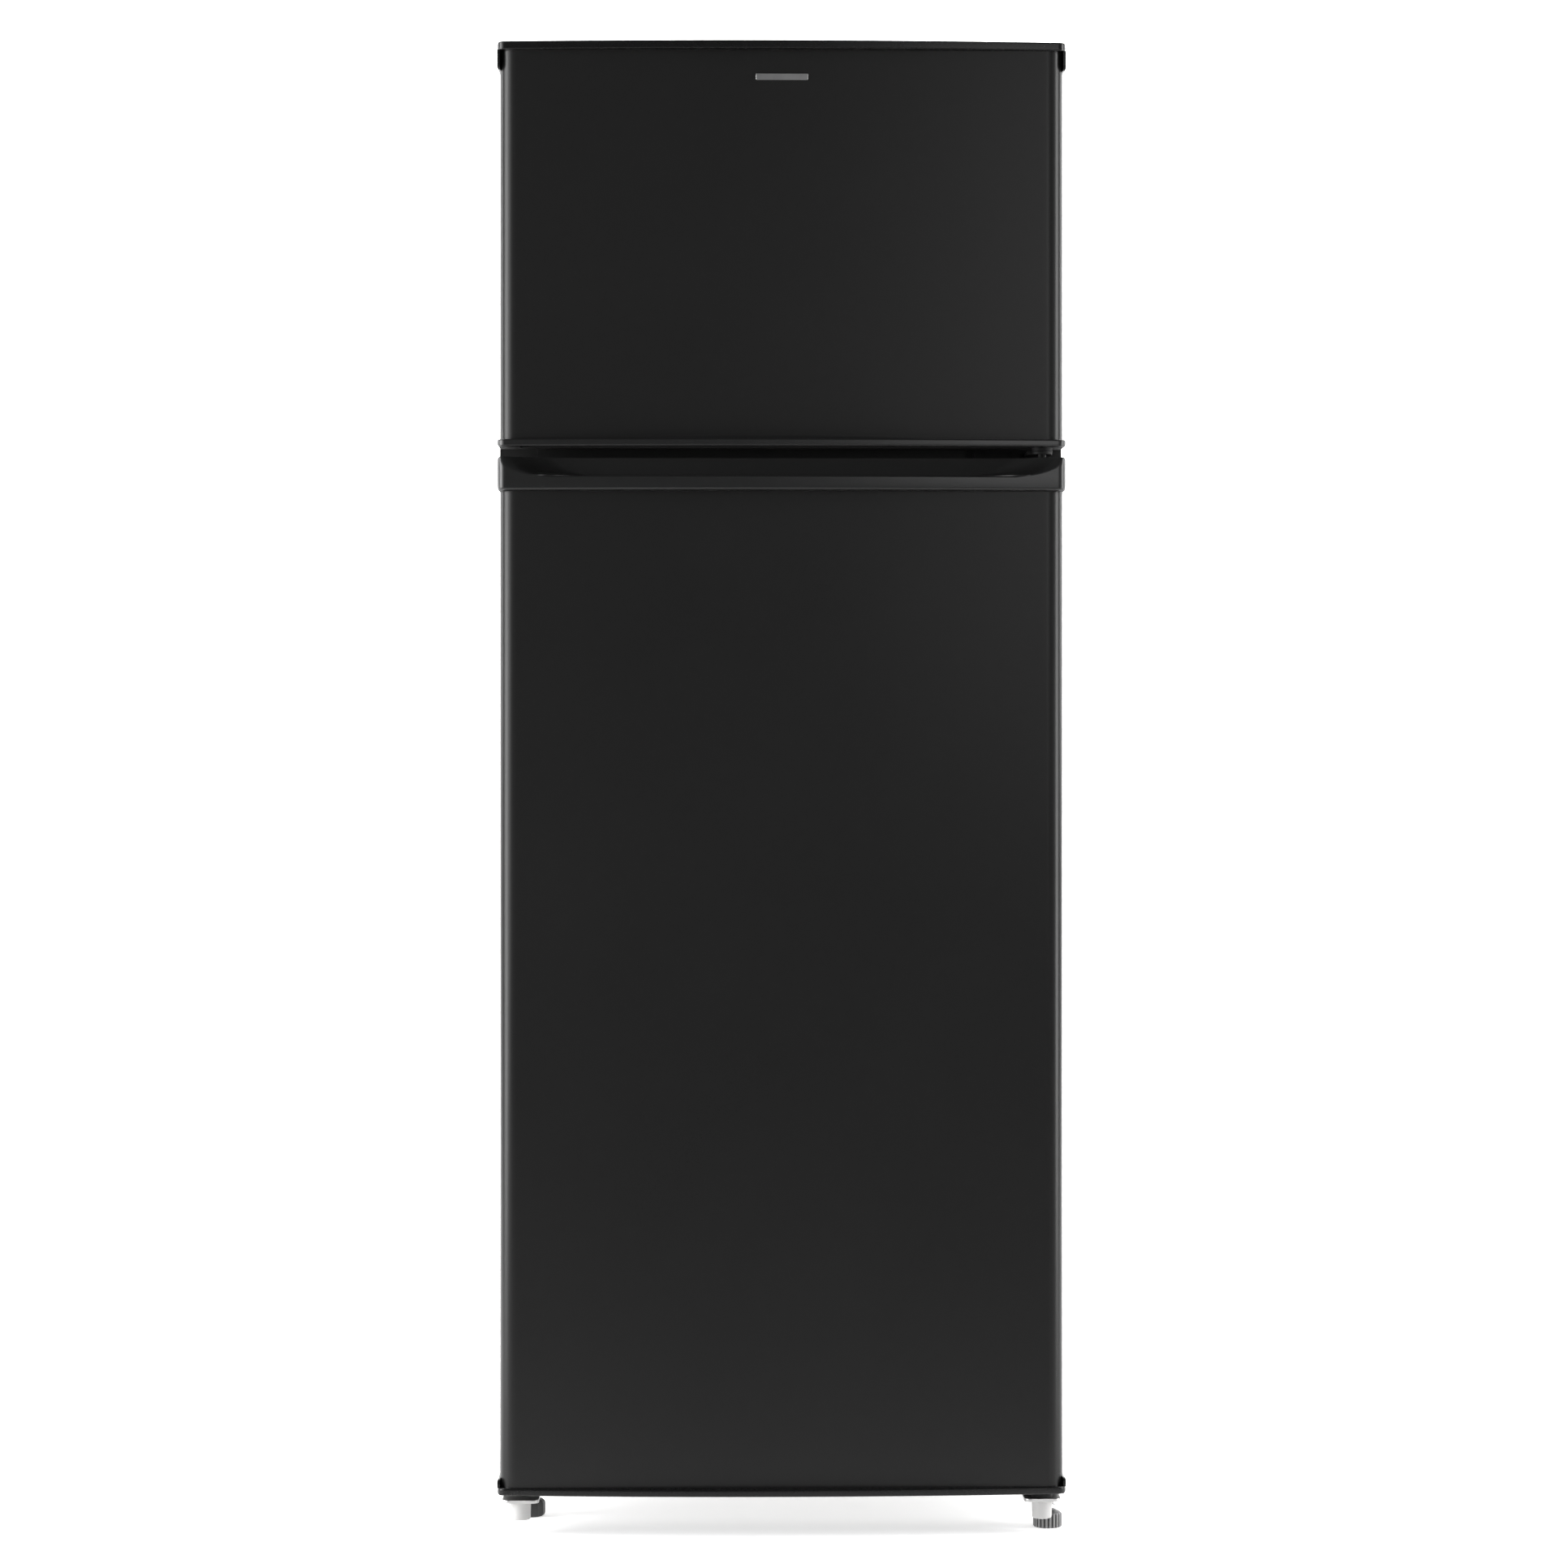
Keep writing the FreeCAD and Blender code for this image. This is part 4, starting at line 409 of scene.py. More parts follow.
# %% Front line of a door, seen from above
cap_low, cap_high = span("fridge_door_bottom_cap")
skin_low, skin_high = span("fridge_door_skin")
HALF, FRONT, BACK = cap_high[0], cap_low[1], cap_high[1]
CAP_BULGE, CAP_ROUND = 12.0, 9.0
SKIN_HALF, SKIN_FRONT, SKIN_BULGE, SKIN_ROUND = skin_high[0], skin_low[1], 3.0, 17.0


def front_line(x, half, front, bulge, corner):
    """y of the front at x: a big circle bowed by bulge, and near the sides a small circle that touches it."""
    big = (half ** 2 + bulge ** 2) / (2 * bulge)
    centre = front + big
    small_x = half - corner
    small_y = centre - math.sqrt((big - corner) ** 2 - small_x ** 2)
    meet = big * small_x / (big - corner)
    across = np.abs(x)
    bow = centre - np.sqrt(big ** 2 - np.minimum(across, meet) ** 2)
    edge = small_y - np.sqrt(np.maximum(corner ** 2 - (np.maximum(across, small_x) - small_x) ** 2, 0))
    return np.where(across <= meet, bow, edge)


def columns(half, corner, middle=72, turn=12):
    """x places from side to side, packed closely where the upright edge turns."""
    ease = np.sin(np.linspace(0, math.pi / 2, turn + 1))
    side = half - corner + corner * ease
    inner = np.linspace(-(half - corner), half - corner, middle + 1)
    return np.concatenate([-side[::-1], inner[1:-1], side])


print("cap front in mm:", FRONT, "skin front:", np.round(SKIN_FRONT, 2))

# %% [markdown]
# ## Door skins
# A skin is one sheet that wraps the front and both sides and folds onto the back. It is a thin section carried up
# the door: the path runs round the door seen from above, and an inner copy of it, one sheet thickness in, closes
# the section. A solid block would be simpler, but with the door open the fold behind shows.

# %% Build the door skins
SHEET, FOLD, FOLD_ROUND = 0.8, 14.0, 1.2
FOAM_GAP, FOAM_SIDE_END, FOAM_BACK = 0.4, 6.0, 2.6


def offset_path(path, distance):
    """The path moved to its left by a distance: each point goes along the normal of its neighbours' chord."""
    chord = np.gradient(path, axis=0)
    chord /= np.linalg.norm(chord, axis=1, keepdims=True)
    return path + distance * np.stack([-chord[:, 1], chord[:, 0]], axis=1)


def skin_path():
    """Round the door from the left fold to the right fold, seen from above."""
    x = columns(SKIN_HALF, SKIN_ROUND, 90, 16)
    front = np.stack([x, front_line(x, SKIN_HALF, SKIN_FRONT, SKIN_BULGE, SKIN_ROUND)], axis=1)
    turn = np.linspace(0, math.pi / 2, 7)
    corner = np.stack([SKIN_HALF - FOLD_ROUND * (1 - np.cos(turn)), BACK - FOLD_ROUND * (1 - np.sin(turn))], 1)
    side = np.stack([np.full(6, SKIN_HALF), np.linspace(front[-1, 1], BACK - FOLD_ROUND, 7)[1:]], 1)
    right = np.concatenate([side, corner[1:], [[SKIN_HALF - FOLD, BACK]]])
    left = right[::-1] * [-1, 1]
    return np.concatenate([left, front, right])


def build_skin(name, node):
    """One sheet round the front, the sides and the folds, from the node's lowest to its highest level."""
    z_low, z_high = (corner[2] for corner in span(node))
    outer = skin_path()
    inner = offset_path(outer, SHEET)
    section = [(outer, z_low), (outer, z_high), (inner, z_high), (inner, z_low)]
    rings = np.stack([np.column_stack([path, np.full(len(path), z)]) for path, z in section], axis=1)
    piece = finish_mesh(name, [tube_of_rings(rings)], smooth=32)
    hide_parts(node)
    wear(piece, DOOR_PAINT)
    return piece


freezer_skin = build_skin("freezer_skin", "freezer_door_skin")
fridge_skin = build_skin("fridge_skin", "fridge_door_skin")
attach(freezer_skin, "freezer_door")
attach(fridge_skin, "fridge_door")
print("skin faces:", len(fridge_skin.data.polygons))


def build_foam(name, node, body):
    """The foam behind a skin: the skin's own line, set in by the sheet and a hair, closed by a flat back."""
    path = offset_path(skin_path(), SHEET + FOAM_GAP)
    path = path[path[:, 1] < BACK - FOAM_SIDE_END]
    back = BACK - FOAM_BACK
    outline = np.concatenate([[[path[0, 0], back]], path, [[path[-1, 0], back]]])
    heights = [corner[2] for corner in span(node)]
    rings = np.stack([np.column_stack([outline, np.full(len(outline), z)]) for z in heights])
    piece = finish_mesh(name, [tube_of_rings(rings)], smooth=32)
    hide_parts(node)
    wear(piece, FOAM)
    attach(piece, body)
    return piece


build_foam("freezer_foam", "freezer_door_foam", "freezer_door")
build_foam("fridge_foam", "fridge_door_foam", "fridge_door")

# %% [markdown]
# ## Caps
# Plastic caps close each door at the top and the bottom. Their front view is a thin band with softened corners and
# their section is a slab with rounded edges. Cutting the cap into columns from side to side gives every column one
# closed section, so the softening of the corners is only a change of the section's height near the sides.

# %% Sections of a cap
def round_corner(y, z, radius, start, steps=5):
    """A quarter circle of points in the y-z plane about (y, z), from the angle start, turning left."""
    angle = start + np.linspace(0, math.pi / 2, steps)
    return y[:, None] + radius * np.cos(angle), z[:, None] + radius * np.sin(angle)


def end_drop(x, half, radius):
    """How far a band's edge falls away near the sides: a quarter circle in the front view."""
    over = np.clip(np.abs(x) - (half - radius), 0, radius)
    return radius - np.sqrt(radius ** 2 - over ** 2)


def cap_columns():
    return columns(HALF, CAP_ROUND, 84, 14)


def cap_front(x, drop, share):
    """The caps' front line at x, set back by a share of the drop at the ends."""
    return front_line(x, HALF, FRONT, CAP_BULGE, CAP_ROUND) + drop * share


def side_by_side(x, *values):
    """Parts of a section as columns: a number, or one value for each x, becomes one column; more columns stay."""
    shaped = [np.asarray(value, float) for value in values]
    return np.hstack([v if v.ndim == 2 else np.broadcast_to(v, x.shape)[:, None] for v in shaped])


def slab(y_front, y_back, z_low, z_high, edge):
    """Section rings of a slab with rounded front edges: bottom, front and top, then straight down the back."""
    thick = z_high - z_low
    edge = np.minimum(edge, thick * 0.49)
    lower = round_corner(y_front + edge, z_low + edge, edge[:, None], math.pi)
    upper_y, upper_z = round_corner(y_front + edge, z_high - edge, edge[:, None], math.pi / 2)
    y = np.hstack([lower[0][:, ::-1], upper_y[:, ::-1], y_back[:, None], y_back[:, None]])
    z = np.hstack([lower[1][:, ::-1], upper_z[:, ::-1], z_high[:, None], z_low[:, None]])
    return y, z


def rings_from(x, y, z):
    """Rings of points: every x goes with its own row of y and z."""
    return np.stack([np.repeat(x[:, None], y.shape[1], 1), y, z], axis=2)


print("columns in a cap:", len(cap_columns()))

# %% [markdown]
# ## Top and bottom caps
# The freezer's top cap is a thin glossy band whose front lip stands above its floor; the bottom trims are slabs
# that bow out under the skins. Small skirts lap down, or up, over the skins at both sides. Each cap is one mesh:
# the slab from columns, plus two skirts made as rounded plates.

# %% Build the plain caps
SKIRT = HALF - SKIN_HALF


def band(level_low, level_high, edge, end_round):
    """A cap's band as rings: the slab between two levels, its front on the bowed line and its ends softened."""
    x = cap_columns()
    drop = end_drop(x, HALF, end_round)
    y, z = slab(cap_front(x, drop, 0.6), np.full_like(x, BACK), level_low + drop, level_high - drop, edge)
    return tube_of_rings(rings_from(x, y, z))


def skirt(side, z_low, z_high, foot):
    """A plate over the skin's side whose free end is rounded in the side view; foot is +1 if it hangs down."""
    y_near, r, edge = FRONT + CAP_BULGE + CAP_ROUND * 0.6, 5.0, 1.6
    turn = np.linspace(0, math.pi / 2, 8)
    y = np.concatenate([[BACK, BACK], y_near + r - r * np.sin(turn), [y_near]])
    free, fixed = (z_low, z_high) if foot > 0 else (z_high, z_low)
    z = np.concatenate([[fixed, free], free + foot * (r - r * np.cos(turn)), [fixed]])
    outer, slope = side * HALF, foot * (z - free)
    lean = np.where(slope < edge, edge - slope, 0) * 0.55
    rings = np.stack([np.stack([np.full_like(y, side * (SKIN_HALF - 0.2)), y, z], 1),
                      np.stack([outer - side * lean, y, z], 1)])
    return tube_of_rings(rings)


def build_cap(name, node, body, parts, finish=CAP_PLASTIC):
    """One cap from its parts, standing in for its CAD node."""
    piece = even_shading(finish_mesh(name, parts, smooth=50))
    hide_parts(node)
    wear(piece, finish)
    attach(piece, body)
    print(name, "faces:", len(piece.data.polygons))


top_high = span("freezer_door_top_cap")[1]
skin_top = span("freezer_door_skin")[1][2]
LIP_HEIGHT, LIP_WALL, LAP, TOP_SKIRT, BOTTOM_SKIRT = 3.5, 3.0, 0.5, 18.2, 7.8


def lipped_band():
    """The top cap's section: floor at the back, and a lip with rounded edges along the front."""
    x = cap_columns()
    drop = end_drop(x, HALF, 2.4)
    y_front = cap_front(x, drop, 0.6)
    floor = top_high[2] - LIP_HEIGHT
    lip_top = top_high[2] - drop
    lower = round_corner(y_front + 1.2, skin_top + drop + 1.2, 1.2, math.pi)
    nose_y, nose_z = round_corner(y_front + 1.5, lip_top - 1.5, 1.5, math.pi / 2)
    heel_y, heel_z = round_corner(y_front + LIP_WALL - 0.7, lip_top - 0.7, 0.7, 0.0)
    y = side_by_side(x, lower[0][:, ::-1], nose_y[:, ::-1], heel_y[:, ::-1], y_front + LIP_WALL, BACK, BACK)
    z = side_by_side(x, lower[1][:, ::-1], nose_z[:, ::-1], heel_z[:, ::-1], floor, floor, skin_top)
    return tube_of_rings(rings_from(x, y, z))


top_skirts = [skirt(side, skin_top - TOP_SKIRT, skin_top + LAP, 1) for side in (-1, 1)]
build_cap("freezer_cap_top", "freezer_door_top_cap", "freezer_door", [lipped_band()] + top_skirts)

trim_low, trim_high = span("freezer_door_bottom_trim")[0][2], span("freezer_door_skin")[0][2]
bottom_low, bottom_high = cap_low[2], skin_low[2]
bottom_skirts = [skirt(side, bottom_high - LAP, bottom_high + BOTTOM_SKIRT, -1) for side in (-1, 1)]
build_cap("fridge_cap_bottom", "fridge_door_bottom_cap", "fridge_door",
          [band(bottom_low, bottom_high, 1.8, 3.0)] + bottom_skirts)

# %% [markdown]
# ## Finger grips
# Between the doors two grips face each other. The lower one is a scoop in the fridge door's handle cap: a low pull
# lip in front, a trough behind it and a back wall that comes forward in a soft sweep at both ends. The section
# changes from column to column, so the depth of the scoop is a function of x and of the height above the lip, and
# it eases to nothing near the hinges.

# %% Build the grips
handle_low, handle_high = span("fridge_door_handle_cap")
GRIP_HALF, GRIP_SWEEP, LIP_THICK, GRIP_WALL_Y = 213.0, 37.0, 5.5, FRONT + CAP_BULGE + 24.0
SCOOP_HALF, END_ARC, SOFT_END, LIP_LEVEL = 208.0, 60.5, 58.0, 14.4


def grip_columns():
    """The cap's columns, with more of them where the grip sweeps out at its ends."""
    sweep = np.linspace(GRIP_HALF - 45, HALF - 0.5, 70)
    return np.unique(np.round(np.concatenate([cap_columns(), sweep, -sweep]), 4))


def trough_share(x):
    """1 along the middle of the grip and 0 past its ends, falling like a quarter ellipse."""
    over = np.clip((np.abs(x) - (GRIP_HALF - 16)) / (GRIP_SWEEP + 16), 0, 1)
    return np.sqrt(1 - over ** 2)


def scoop_depth(x, above, deepest):
    """How far the scoop goes back at x, at a height above the lip. Its ends follow a circle that opens upwards,
    and the surface eases from the front of the cap to the back wall over SOFT_END."""
    rise = np.clip(above - 1.6, 0, 17.0)
    end = SCOOP_HALF + np.sqrt(END_ARC ** 2 - (END_ARC - rise) ** 2) + SOFT_END / 2
    ease = np.clip((end - np.abs(x)) / SOFT_END, 0, 1)
    return deepest * ease ** 2 * (3 - 2 * ease)


def handle_section():
    """Closed section of the handle cap at each x: chamfer, front, lip, trough, back wall, top and back."""
    x = grip_columns()
    drop = end_drop(x, HALF, 3.2)
    y0 = cap_front(x, drop, 0.5)
    z0, z1 = handle_low[2] + drop, handle_high[2] - drop
    lip = np.full_like(x, handle_low[2] + LIP_LEVEL)
    deepest = GRIP_WALL_Y - y0
    at_lip = scoop_depth(x, np.zeros_like(x), deepest)
    thick = np.minimum(LIP_THICK, at_lip)
    inner = y0 + thick
    sunk = np.clip((at_lip - LIP_THICK) / 22.0, 0, 1) * (LIP_LEVEL - 5.0)
    nose_round = np.minimum(1.6, thick / 2.2)
    heel_round = np.minimum(1.2, np.minimum(thick / 2.2, sunk))
    nose = round_corner(y0 + nose_round, lip - nose_round, nose_round[:, None], math.pi / 2, 7)
    heel = round_corner(inner - heel_round, lip - heel_round, heel_round[:, None], 0.0)
    curve = np.linspace(0, math.pi / 2, 6)
    bend = np.minimum(4.0, sunk * 0.45)[:, None]
    foot_y = inner[:, None] + bend * (1 - np.cos(curve))
    foot_z = (lip - sunk)[:, None] + bend * (1 - np.sin(curve))
    above = np.linspace(0, 1, 22)[None, :] ** 0.9 * (z1 - lip)[:, None]
    wall_y = y0[:, None] + scoop_depth(x[:, None], above, deepest[:, None])
    wall_z = lip[:, None] + above
    back_y = (y0 + at_lip)[:, None] - bend * (1 - np.sin(curve))
    back_z = (lip - sunk)[:, None] + bend * (1 - np.cos(curve))
    y = side_by_side(x, y0 + 3.0, y0 + 0.7, y0, nose[0][:, ::-1], heel[0][:, ::-1], foot_y, back_y, wall_y,
                     BACK, BACK)
    z = side_by_side(x, z0, z0 + 2.1, z0 + 3.6, nose[1][:, ::-1], heel[1][:, ::-1], foot_z, back_z, wall_z,
                     z1, z0)
    return tube_of_rings(rings_from(x, y, z))


build_cap("fridge_handle_cap", "fridge_door_handle_cap", "fridge_door", [handle_section()], HANDLE_PLASTIC)
TRIM_WALL, TRIM_HOLLOW = 4.5, 19.0


def trim_section():
    """The freezer's bottom trim: a band whose underside is hollowed for the fingertips."""
    x = grip_columns()
    drop = end_drop(x, HALF, 2.2)
    y0 = cap_front(x, drop, 0.5)
    z0, z1 = trim_low + drop, trim_high - drop * 0.3
    roof = z0 + TRIM_HOLLOW * trough_share(x)
    nose_y, nose_z = round_corner(y0 + 1.5, z1 - 1.5, 1.5, math.pi / 2)
    chin_y, chin_z = round_corner(y0 + 1.5, z0 + 1.5, 1.5, math.pi)
    inner, outer_wall = y0 + TRIM_WALL, GRIP_WALL_Y + 2.5
    tall = np.maximum(roof + 2.5, z1)
    shelf = np.minimum(roof, z1 - 2.2)
    y = side_by_side(x, BACK, GRIP_WALL_Y + 0.3, GRIP_WALL_Y, inner + 15, inner + 2, inner,
                     chin_y[:, ::-1], nose_y[:, ::-1], inner + 12.5, inner + 12.5, outer_wall, outer_wall, BACK)
    z = side_by_side(x, z0, z0, roof, roof, shelf, z0 + 0.6,
                     chin_z[:, ::-1], nose_z[:, ::-1], z1, tall, tall, z1, z1)
    return tube_of_rings(rings_from(x, y, z))


build_cap("freezer_trim_bottom", "freezer_door_bottom_trim", "freezer_door", [trim_section()], HANDLE_PLASTIC)

# %% [markdown]
# ## Blank badge
# A small metal plate sits high on the freezer door. It is left blank. Rings that grow from its face to its base
# give it a pillowed edge that catches the light.

# %% Build the badge
def rounded_rect(half_x, half_z, radius, steps=6):
    """Points round a rectangle with quarter-circle corners."""
    turn = np.linspace(0, math.pi / 2, steps)
    parts = []
    for quarter, (sx, sz) in enumerate([(1, 1), (-1, 1), (-1, -1), (1, -1)]):
        angle = turn + quarter * math.pi / 2
        parts.append(np.stack([sx * (half_x - radius) + radius * np.cos(angle),
                               sz * (half_z - radius) + radius * np.sin(angle)], 1))
    return np.concatenate(parts)


badge_low, badge_high = span("blank_badge")
badge_middle = (badge_low + badge_high) / 2


def build_badge():
    """Rounded rectangles, each a little smaller and further out than the one before."""
    half_x, half_z = (badge_high - badge_low)[[0, 2]] / 2
    steps = [(0.0, 0.02), (0.0, 0.35), (0.12, 0.56), (0.4, 0.68)]
    rings = []
    for inset, rise in steps:
        outline = rounded_rect(half_x - inset, half_z - inset, 1.2 - inset)
        y = np.full(len(outline), badge_high[1] - rise)
        rings.append(np.column_stack([outline[:, 0] + badge_middle[0], y, outline[:, 1] + badge_middle[2]]))
    piece = even_shading(finish_mesh("name_plate", [tube_of_rings(np.array(rings))], smooth=60))
    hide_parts("blank_badge")
    wear(piece, BADGE_METAL)
    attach(piece, "freezer_door")
    return piece


print("badge faces:", len(build_badge().data.polygons))

# %% [markdown]
# ## Seals
# A door seal is an extruded bellows with a magnet in its front pocket: two thin folded walls let it stretch a
# little. Its section is carried round a rectangle; a point of the section is an inset from the door's edge and a
# height above the door's back, so the corners are mitred of themselves.

# %% Build the seals
SEAL_SECTION = np.array([
    (3.0, 0), (3.0, 1.2), (1.2, 2.4), (3.2, 3.7), (0.9, 5.0), (0.1, 6.0), (0.1, 8.6), (0.6, 9.3), (1.5, 9.6),
    (6.2, 9.6), (7.0, 9.2), (7.8, 9.6), (12.5, 9.6), (13.4, 9.3), (13.9, 8.6), (13.9, 6.0), (13.1, 5.0),
    (10.8, 3.7), (12.8, 2.4), (11.0, 1.2), (11.0, 0)])


def build_seal(name, node, body):
    """The section as rows and the four corners of its rectangle as columns; both directions close."""
    corner_low, corner_high = span(node)
    section = np.vstack([SEAL_SECTION, SEAL_SECTION[:1]])
    rows = []
    for inset, height in section:
        left, right = corner_low[0] + inset, corner_high[0] - inset
        bottom, top = corner_low[2] + inset, corner_high[2] - inset
        y = min(corner_low[1] + height, corner_high[1])
        rows.append([(left, y, bottom), (right, y, bottom), (right, y, top), (left, y, top)])
    piece = finish_mesh(name, [tube_of_rings(np.array(rows), ends=False)], smooth=50)
    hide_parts(node)
    wear(piece, SEAL_RUBBER)
    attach(piece, body)
    return piece


build_seal("freezer_seal", "freezer_door_seal", "freezer_door")
print("seal faces:", len(build_seal("fridge_seal", "fridge_door_seal", "fridge_door").data.polygons))

# %% [markdown]
# ## Feet, sleeves and the lock nut
# Everything under the doors is turned: a ribbed grey knob on a threaded stud at the right, a plainer black one at
# the left, two white sleeves, and a nut with a loose washer that leans. A turned piece is a radius for each height;
# ribs, facets and the thread are waves added to that radius.

# %% Build the turned pieces
def turned(centre, heights, radii, around, ripple=None):
    """Rings about a vertical axis: radius from the profile, changed by ripple(angle, height) if there is one."""
    angle = np.linspace(0, 2 * math.pi, around, endpoint=False)[None, :]
    z = np.asarray(heights, float)[:, None]
    radius = np.asarray(radii, float)[:, None] * np.ones_like(angle)
    if ripple:
        radius = radius * ripple(angle, z)
    rings = [centre[0] + radius * np.cos(angle), centre[1] + radius * np.sin(angle), z + 0 * angle]
    return tube_of_rings(np.stack(rings, axis=2))


def middle_of(node):
    corner_low, corner_high = span(node)
    return (corner_low + corner_high) / 2


def turned_piece(name, node, body, finish, parts, smooth=35):
    """One turned piece from its parts, standing in for its CAD node."""
    piece = finish_mesh(name, parts, smooth=smooth)
    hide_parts(node)
    wear(piece, finish)
    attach(piece, body)
    return piece


RIBS, RIB_DEPTH = 22, 0.17


def ribs(angle, z):
    """Broad ribs with narrow grooves between them, fading out on the shoulder and at the sole."""
    groove = np.clip(0.5 - 0.5 * np.cos(RIBS * angle), 0, 1) ** 3
    alive = np.clip((z - 0.5) / 1.0, 0, 1) * np.clip((13.6 - z) / 1.2, 0, 1)
    return 1 - RIB_DEPTH * groove * alive


def paint_groove_shade(finish, node, inner, outer, dark, light):
    """Painted shade in the grooves: the colour follows the distance from the foot's own axis, in millimetres."""
    x, y = middle_of(node)[:2] * MM
    east, north = finish.axis("X") - float(x), finish.axis("Y") - float(y)
    radius = (east * east + north * north).math("SQRT", 0)
    ridge = ((radius - inner * MM) * (1 / ((outer - inner) * MM))).clamp(0.0, 1.0)
    finish.feed("Base Color", finish.blend(ridge, grey(dark), grey(light)))


def thread(angle, z):
    """A fine helical ridge of 1.25 mm pitch on a stud."""
    return 1 - 0.05 * (0.5 - 0.5 * np.cos(2 * math.pi * z / 1.25 - angle))


STUD_RADIUS = 4.0


def foot_parts(node, profile, ripple, around):
    """A knob of (height, radius) pairs with its threaded stud, which reaches the top of the node."""
    centre, top = middle_of(node), span(node)[1][2]
    knob_z, knob_r = zip(*profile)
    stud_z = np.arange(profile[-1][0] - 0.4, top + 0.01, 0.2)
    stud_z[-1] = top
    stud_r = np.full(len(stud_z), STUD_RADIUS)
    return [turned(centre, knob_z, knob_r, around, ripple), turned(centre, stud_z, stud_r, 32, thread)]


knob = [(0, 12.6), (0.3, 13.3), (0.9, 13.8), (1.6, 14.0), (4, 14.0), (8, 14.0), (11.5, 14.0), (12.6, 13.9),
        (13.4, 13.3), (14.2, 12.3), (15.2, 10.4), (16.2, 8.6), (16.8, 7.6), (17.0, 7.0)]
turned_piece("ribbed_foot", "right_levelling_foot", "right_foot", FOOT_PLASTIC,
             foot_parts("right_levelling_foot", knob, ribs, RIBS * 12))
# Painted shade: the foot's grooves are coloured darker than its ridges.
paint_groove_shade(FOOT_PLASTIC, "right_levelling_foot", 11.9, 13.6, 0.04, 0.19)
plain = [(0, 10.8), (0.4, 12.0), (1.2, 13.0), (2.4, 13.7), (4.0, 14.0), (13, 14.0), (15, 13.4), (16.2, 12.0),
         (16.9, 9.0), (17.0, 6.0)]


def facets(angle, z):
    """Twelve shallow flutes that fade out at the sole."""
    return 1 - 0.055 * np.abs(np.sin(6 * angle)) * np.clip(z / 3, 0, 1)


turned_piece("plain_foot", "left_levelling_foot", "left_foot", BLACK_FOOT_PLASTIC,
             foot_parts("left_levelling_foot", plain, facets, 144), smooth=22)

sleeve_low, sleeve_high = span("pin_sleeves")
SLEEVE_RADIUS = 9.75
sleeve_x, sleeve_y = sleeve_high[0] - SLEEVE_RADIUS, (sleeve_low[1] + sleeve_high[1]) / 2
tall = sleeve_high[2] - sleeve_low[2]
sleeve_shape = [(0, 5.5), (0.05, 7.9), (0.35, 8.8), (1.0, 9.3), (2.0, 9.45), (tall - 1.2, SLEEVE_RADIUS),
                (tall - 0.2, SLEEVE_RADIUS), (tall, 9.5)]
sleeve_z, sleeve_r = zip(*sleeve_shape)
turned_piece("white_sleeves", "pin_sleeves", "cabinet", SLEEVE_PLASTIC,
             [turned((side * sleeve_x, sleeve_y), np.array(sleeve_z) + sleeve_low[2], sleeve_r, 64)
              for side in (-1, 1)])

nut_low, nut_high = span("foot_lock_nut")
nut_x, nut_y = middle_of("foot_lock_nut")[:2]
NUT_HEIGHT, WASHER_LEVEL, WASHER_LEAN = 4.3, 2.9, math.sin(math.radians(10))


def hexagon(angle, z):
    """Distance to a hexagon's edge over its corner radius, so a circle becomes six flats."""
    return math.cos(math.pi / 6) / np.cos((angle % (math.pi / 3)) - math.pi / 6)


def nut_and_washer():
    """A nut with chamfered corners, and a flat ring that leans to the right and to the front."""
    z0, z1 = nut_high[2] - NUT_HEIGHT, nut_high[2]
    nut = turned((nut_x, nut_y), [z0, z0 + 0.5, z1 - 0.5, z1], [6.9, 7.6, 7.6, 6.9], 72, hexagon)
    ring_z = nut_low[2] + WASHER_LEVEL + np.array([-0.75, -0.75, -0.45, 0.45, 0.75, 0.75])
    washer, faces = turned((nut_x, nut_y), ring_z, [4.1, 10.2, 10.5, 10.5, 10.2, 4.1], 72)
    washer[:, 2] += WASHER_LEAN * ((washer[:, 1] - nut_y) * 0.4 - (washer[:, 0] - nut_x) * 0.9)
    return [nut, (washer, faces)]


turned_piece("nut_and_washer", "foot_lock_nut", "cabinet", CHROME, nut_and_washer())
print("nut centre:", np.round((nut_x, nut_y), 1))

# %% [markdown]
# ## Softened edges on plain pieces
# Folded steel and moulded plastic never end in a razor's edge. The plain nodes get a weld, so that their faces
# share corners, and then a bevel of a few tenths of a millimetre that takes only the sharp edges.

# %% Bevels
SOFT_EDGES = {
    0.35: "bottom_hinge left_front_bracket middle_hinge top_hinge compressor_base crossbar front_base_rail",
    0.6: "thermostat_box door_switch_box start_relay_box power_cord_gland wall_spacers shelf_trims evaporation_tray",
    0.5: "shelf_glass top_hinge_cover",
}
SAME_PLACE, SHARP_FROM = 0.00001, math.radians(50)
for width, names in SOFT_EDGES.items():
    for name in names.split():
        weld = nodes[name].modifiers.new("weld", "WELD")
        weld.merge_threshold = SAME_PLACE
        bevel = nodes[name].modifiers.new("bevel", "BEVEL")
        bevel.width, bevel.segments, bevel.limit_method = width * MM, 2, "ANGLE"
        bevel.angle_limit = SHARP_FROM
        bevel.use_clamp_overlap = True
print("softened nodes:", sum(len(names.split()) for names in SOFT_EDGES.values()))
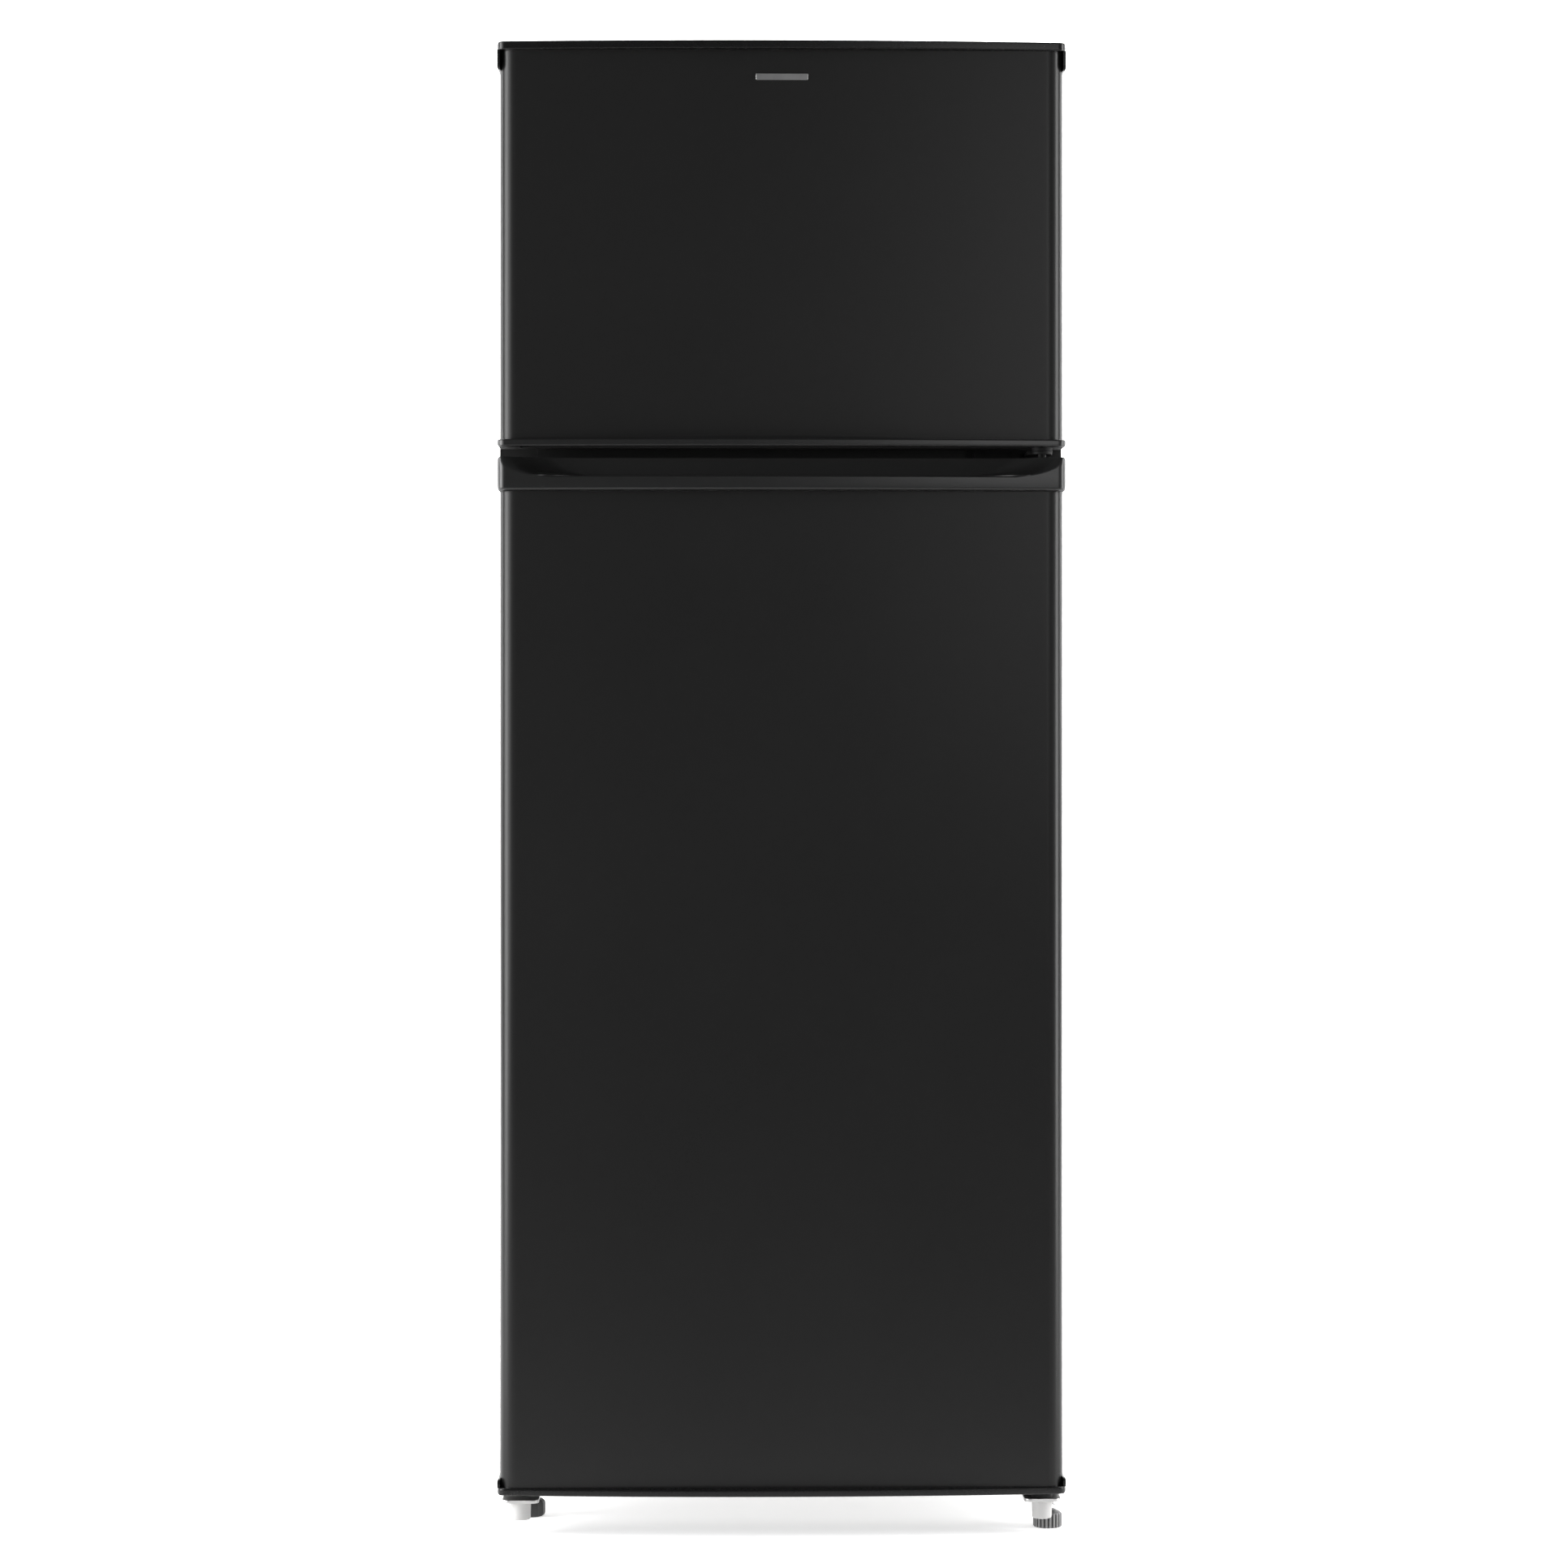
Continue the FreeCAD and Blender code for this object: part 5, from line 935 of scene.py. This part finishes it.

# %% [markdown]
# ## Studio
# The room is a white sweep: floor and backdrop in one curved sheet, so no horizon shows. Long softboxes stand at
# both sides and give the upright edges of the doors their bright lines. The floor has a painted glow close to the
# appliance that washes out its shadow, and painted shade that falls off to a pale grey in front; the room behind
# the camera stays dim, so the doors read as black.

# %% Floor, backdrop and lights
def stage_sheet():
    """Floor and backdrop: a profile in y and z, straight, then a quarter circle, then straight, drawn across x."""
    radius, depth, tall, wide = 2.0, 3.2, 6.0, 9.0
    turn = np.linspace(0, math.pi / 2, 24)
    y = np.concatenate([[-9.0], depth + radius * np.sin(turn), [depth + radius]])
    z = np.concatenate([[0.0], radius - radius * np.cos(turn), [tall]])
    rows = np.stack([np.column_stack([np.full(len(y), side), y, z]) for side in np.linspace(-wide, wide, 3)]) / MM
    return finish_mesh("studio_sweep", [(rows, faces_of_grid(3, len(y), False).tolist())], smooth=80)


sweep = stage_sheet()
SWEEP_WHITE = Finish("sweep_white", Base_Color=grey(0.86), Roughness=0.9, Emission_Strength=1.0)
along = SWEEP_WHITE.axis("Y")
paper = SWEEP_WHITE.noise(1.5, 2.0) * 0.05 + 0.95
# Painted shade: the floor's colour darkens to grey in front of the appliance.
front_floor_shade = ((along + 1.0) * 2.0).clamp(0.0, 1.0)
near = ((along + 0.66) * 5.0).clamp(0.0, 1.0)
SWEEP_WHITE.feed("Base Color", SWEEP_WHITE.blend(front_floor_shade * paper, grey(0.45), grey(0.88)))
# Painted light: close to the appliance the floor glows, which washes out its shadow there.
SWEEP_WHITE.feed("Emission Color", SWEEP_WHITE.blend(near, grey(0.0), grey(0.55)))
wear(sweep, SWEEP_WHITE)
if np.mean([face.normal.z for face in sweep.data.polygons]) < 0:
    sweep.data.flip_normals()


def softbox(name, place, aim, size, power):
    """A rectangular area light at a place in metres, turned to face another place."""
    light = bpy.data.lights.new(name, "AREA")
    light.shape, light.size, light.size_y, light.energy = "RECTANGLE", size[0], size[1], power
    holder = bpy.data.objects.new(name, light)
    holder.location = place
    away = np.array(place, float) - np.array(aim, float)
    away /= np.linalg.norm(away)
    yaw, pitch = math.atan2(away[0], -away[1]), math.acos(max(-1.0, min(1.0, away[2])))
    holder.rotation_euler = (pitch, 0, yaw)
    bpy.context.scene.collection.objects.link(holder)


softbox("left_softbox", (-2.6, -0.7, 1.1), (0, -0.2, 0.9), (1.0, 2.4), 110)
softbox("left_front_softbox", (-3.1, -2.0, 1.2), (0, -0.2, 0.9), (1.2, 2.2), 45)
softbox("right_softbox", (2.6, -0.6, 1.1), (0, -0.2, 0.9), (0.8, 2.4), 80)
softbox("front_right_softbox", (1.15, -3.6, 1.5), (0, -0.2, 1.0), (1.1, 1.3), 14)
softbox("backdrop_top", (0, 2.2, 4.4), (0, 3.8, 0.6), (6.0, 2.0), 300)
softbox("backdrop_left", (-3.2, 1.8, 2.2), (0, 5.0, 1.2), (1.6, 3.0), 160)
softbox("backdrop_right", (3.2, 1.8, 2.2), (0, 5.0, 1.2), (1.6, 3.0), 160)
bpy.context.scene.view_settings.view_transform = "Standard"
world = bpy.data.worlds.new("room")
bpy.context.scene.world = world
world.use_nodes = True
world.node_tree.nodes["Background"].inputs["Color"].default_value = (0.9, 0.92, 0.95, 1)
world.node_tree.nodes["Background"].inputs["Strength"].default_value = 0.12
print("lights:", len(bpy.data.lights))
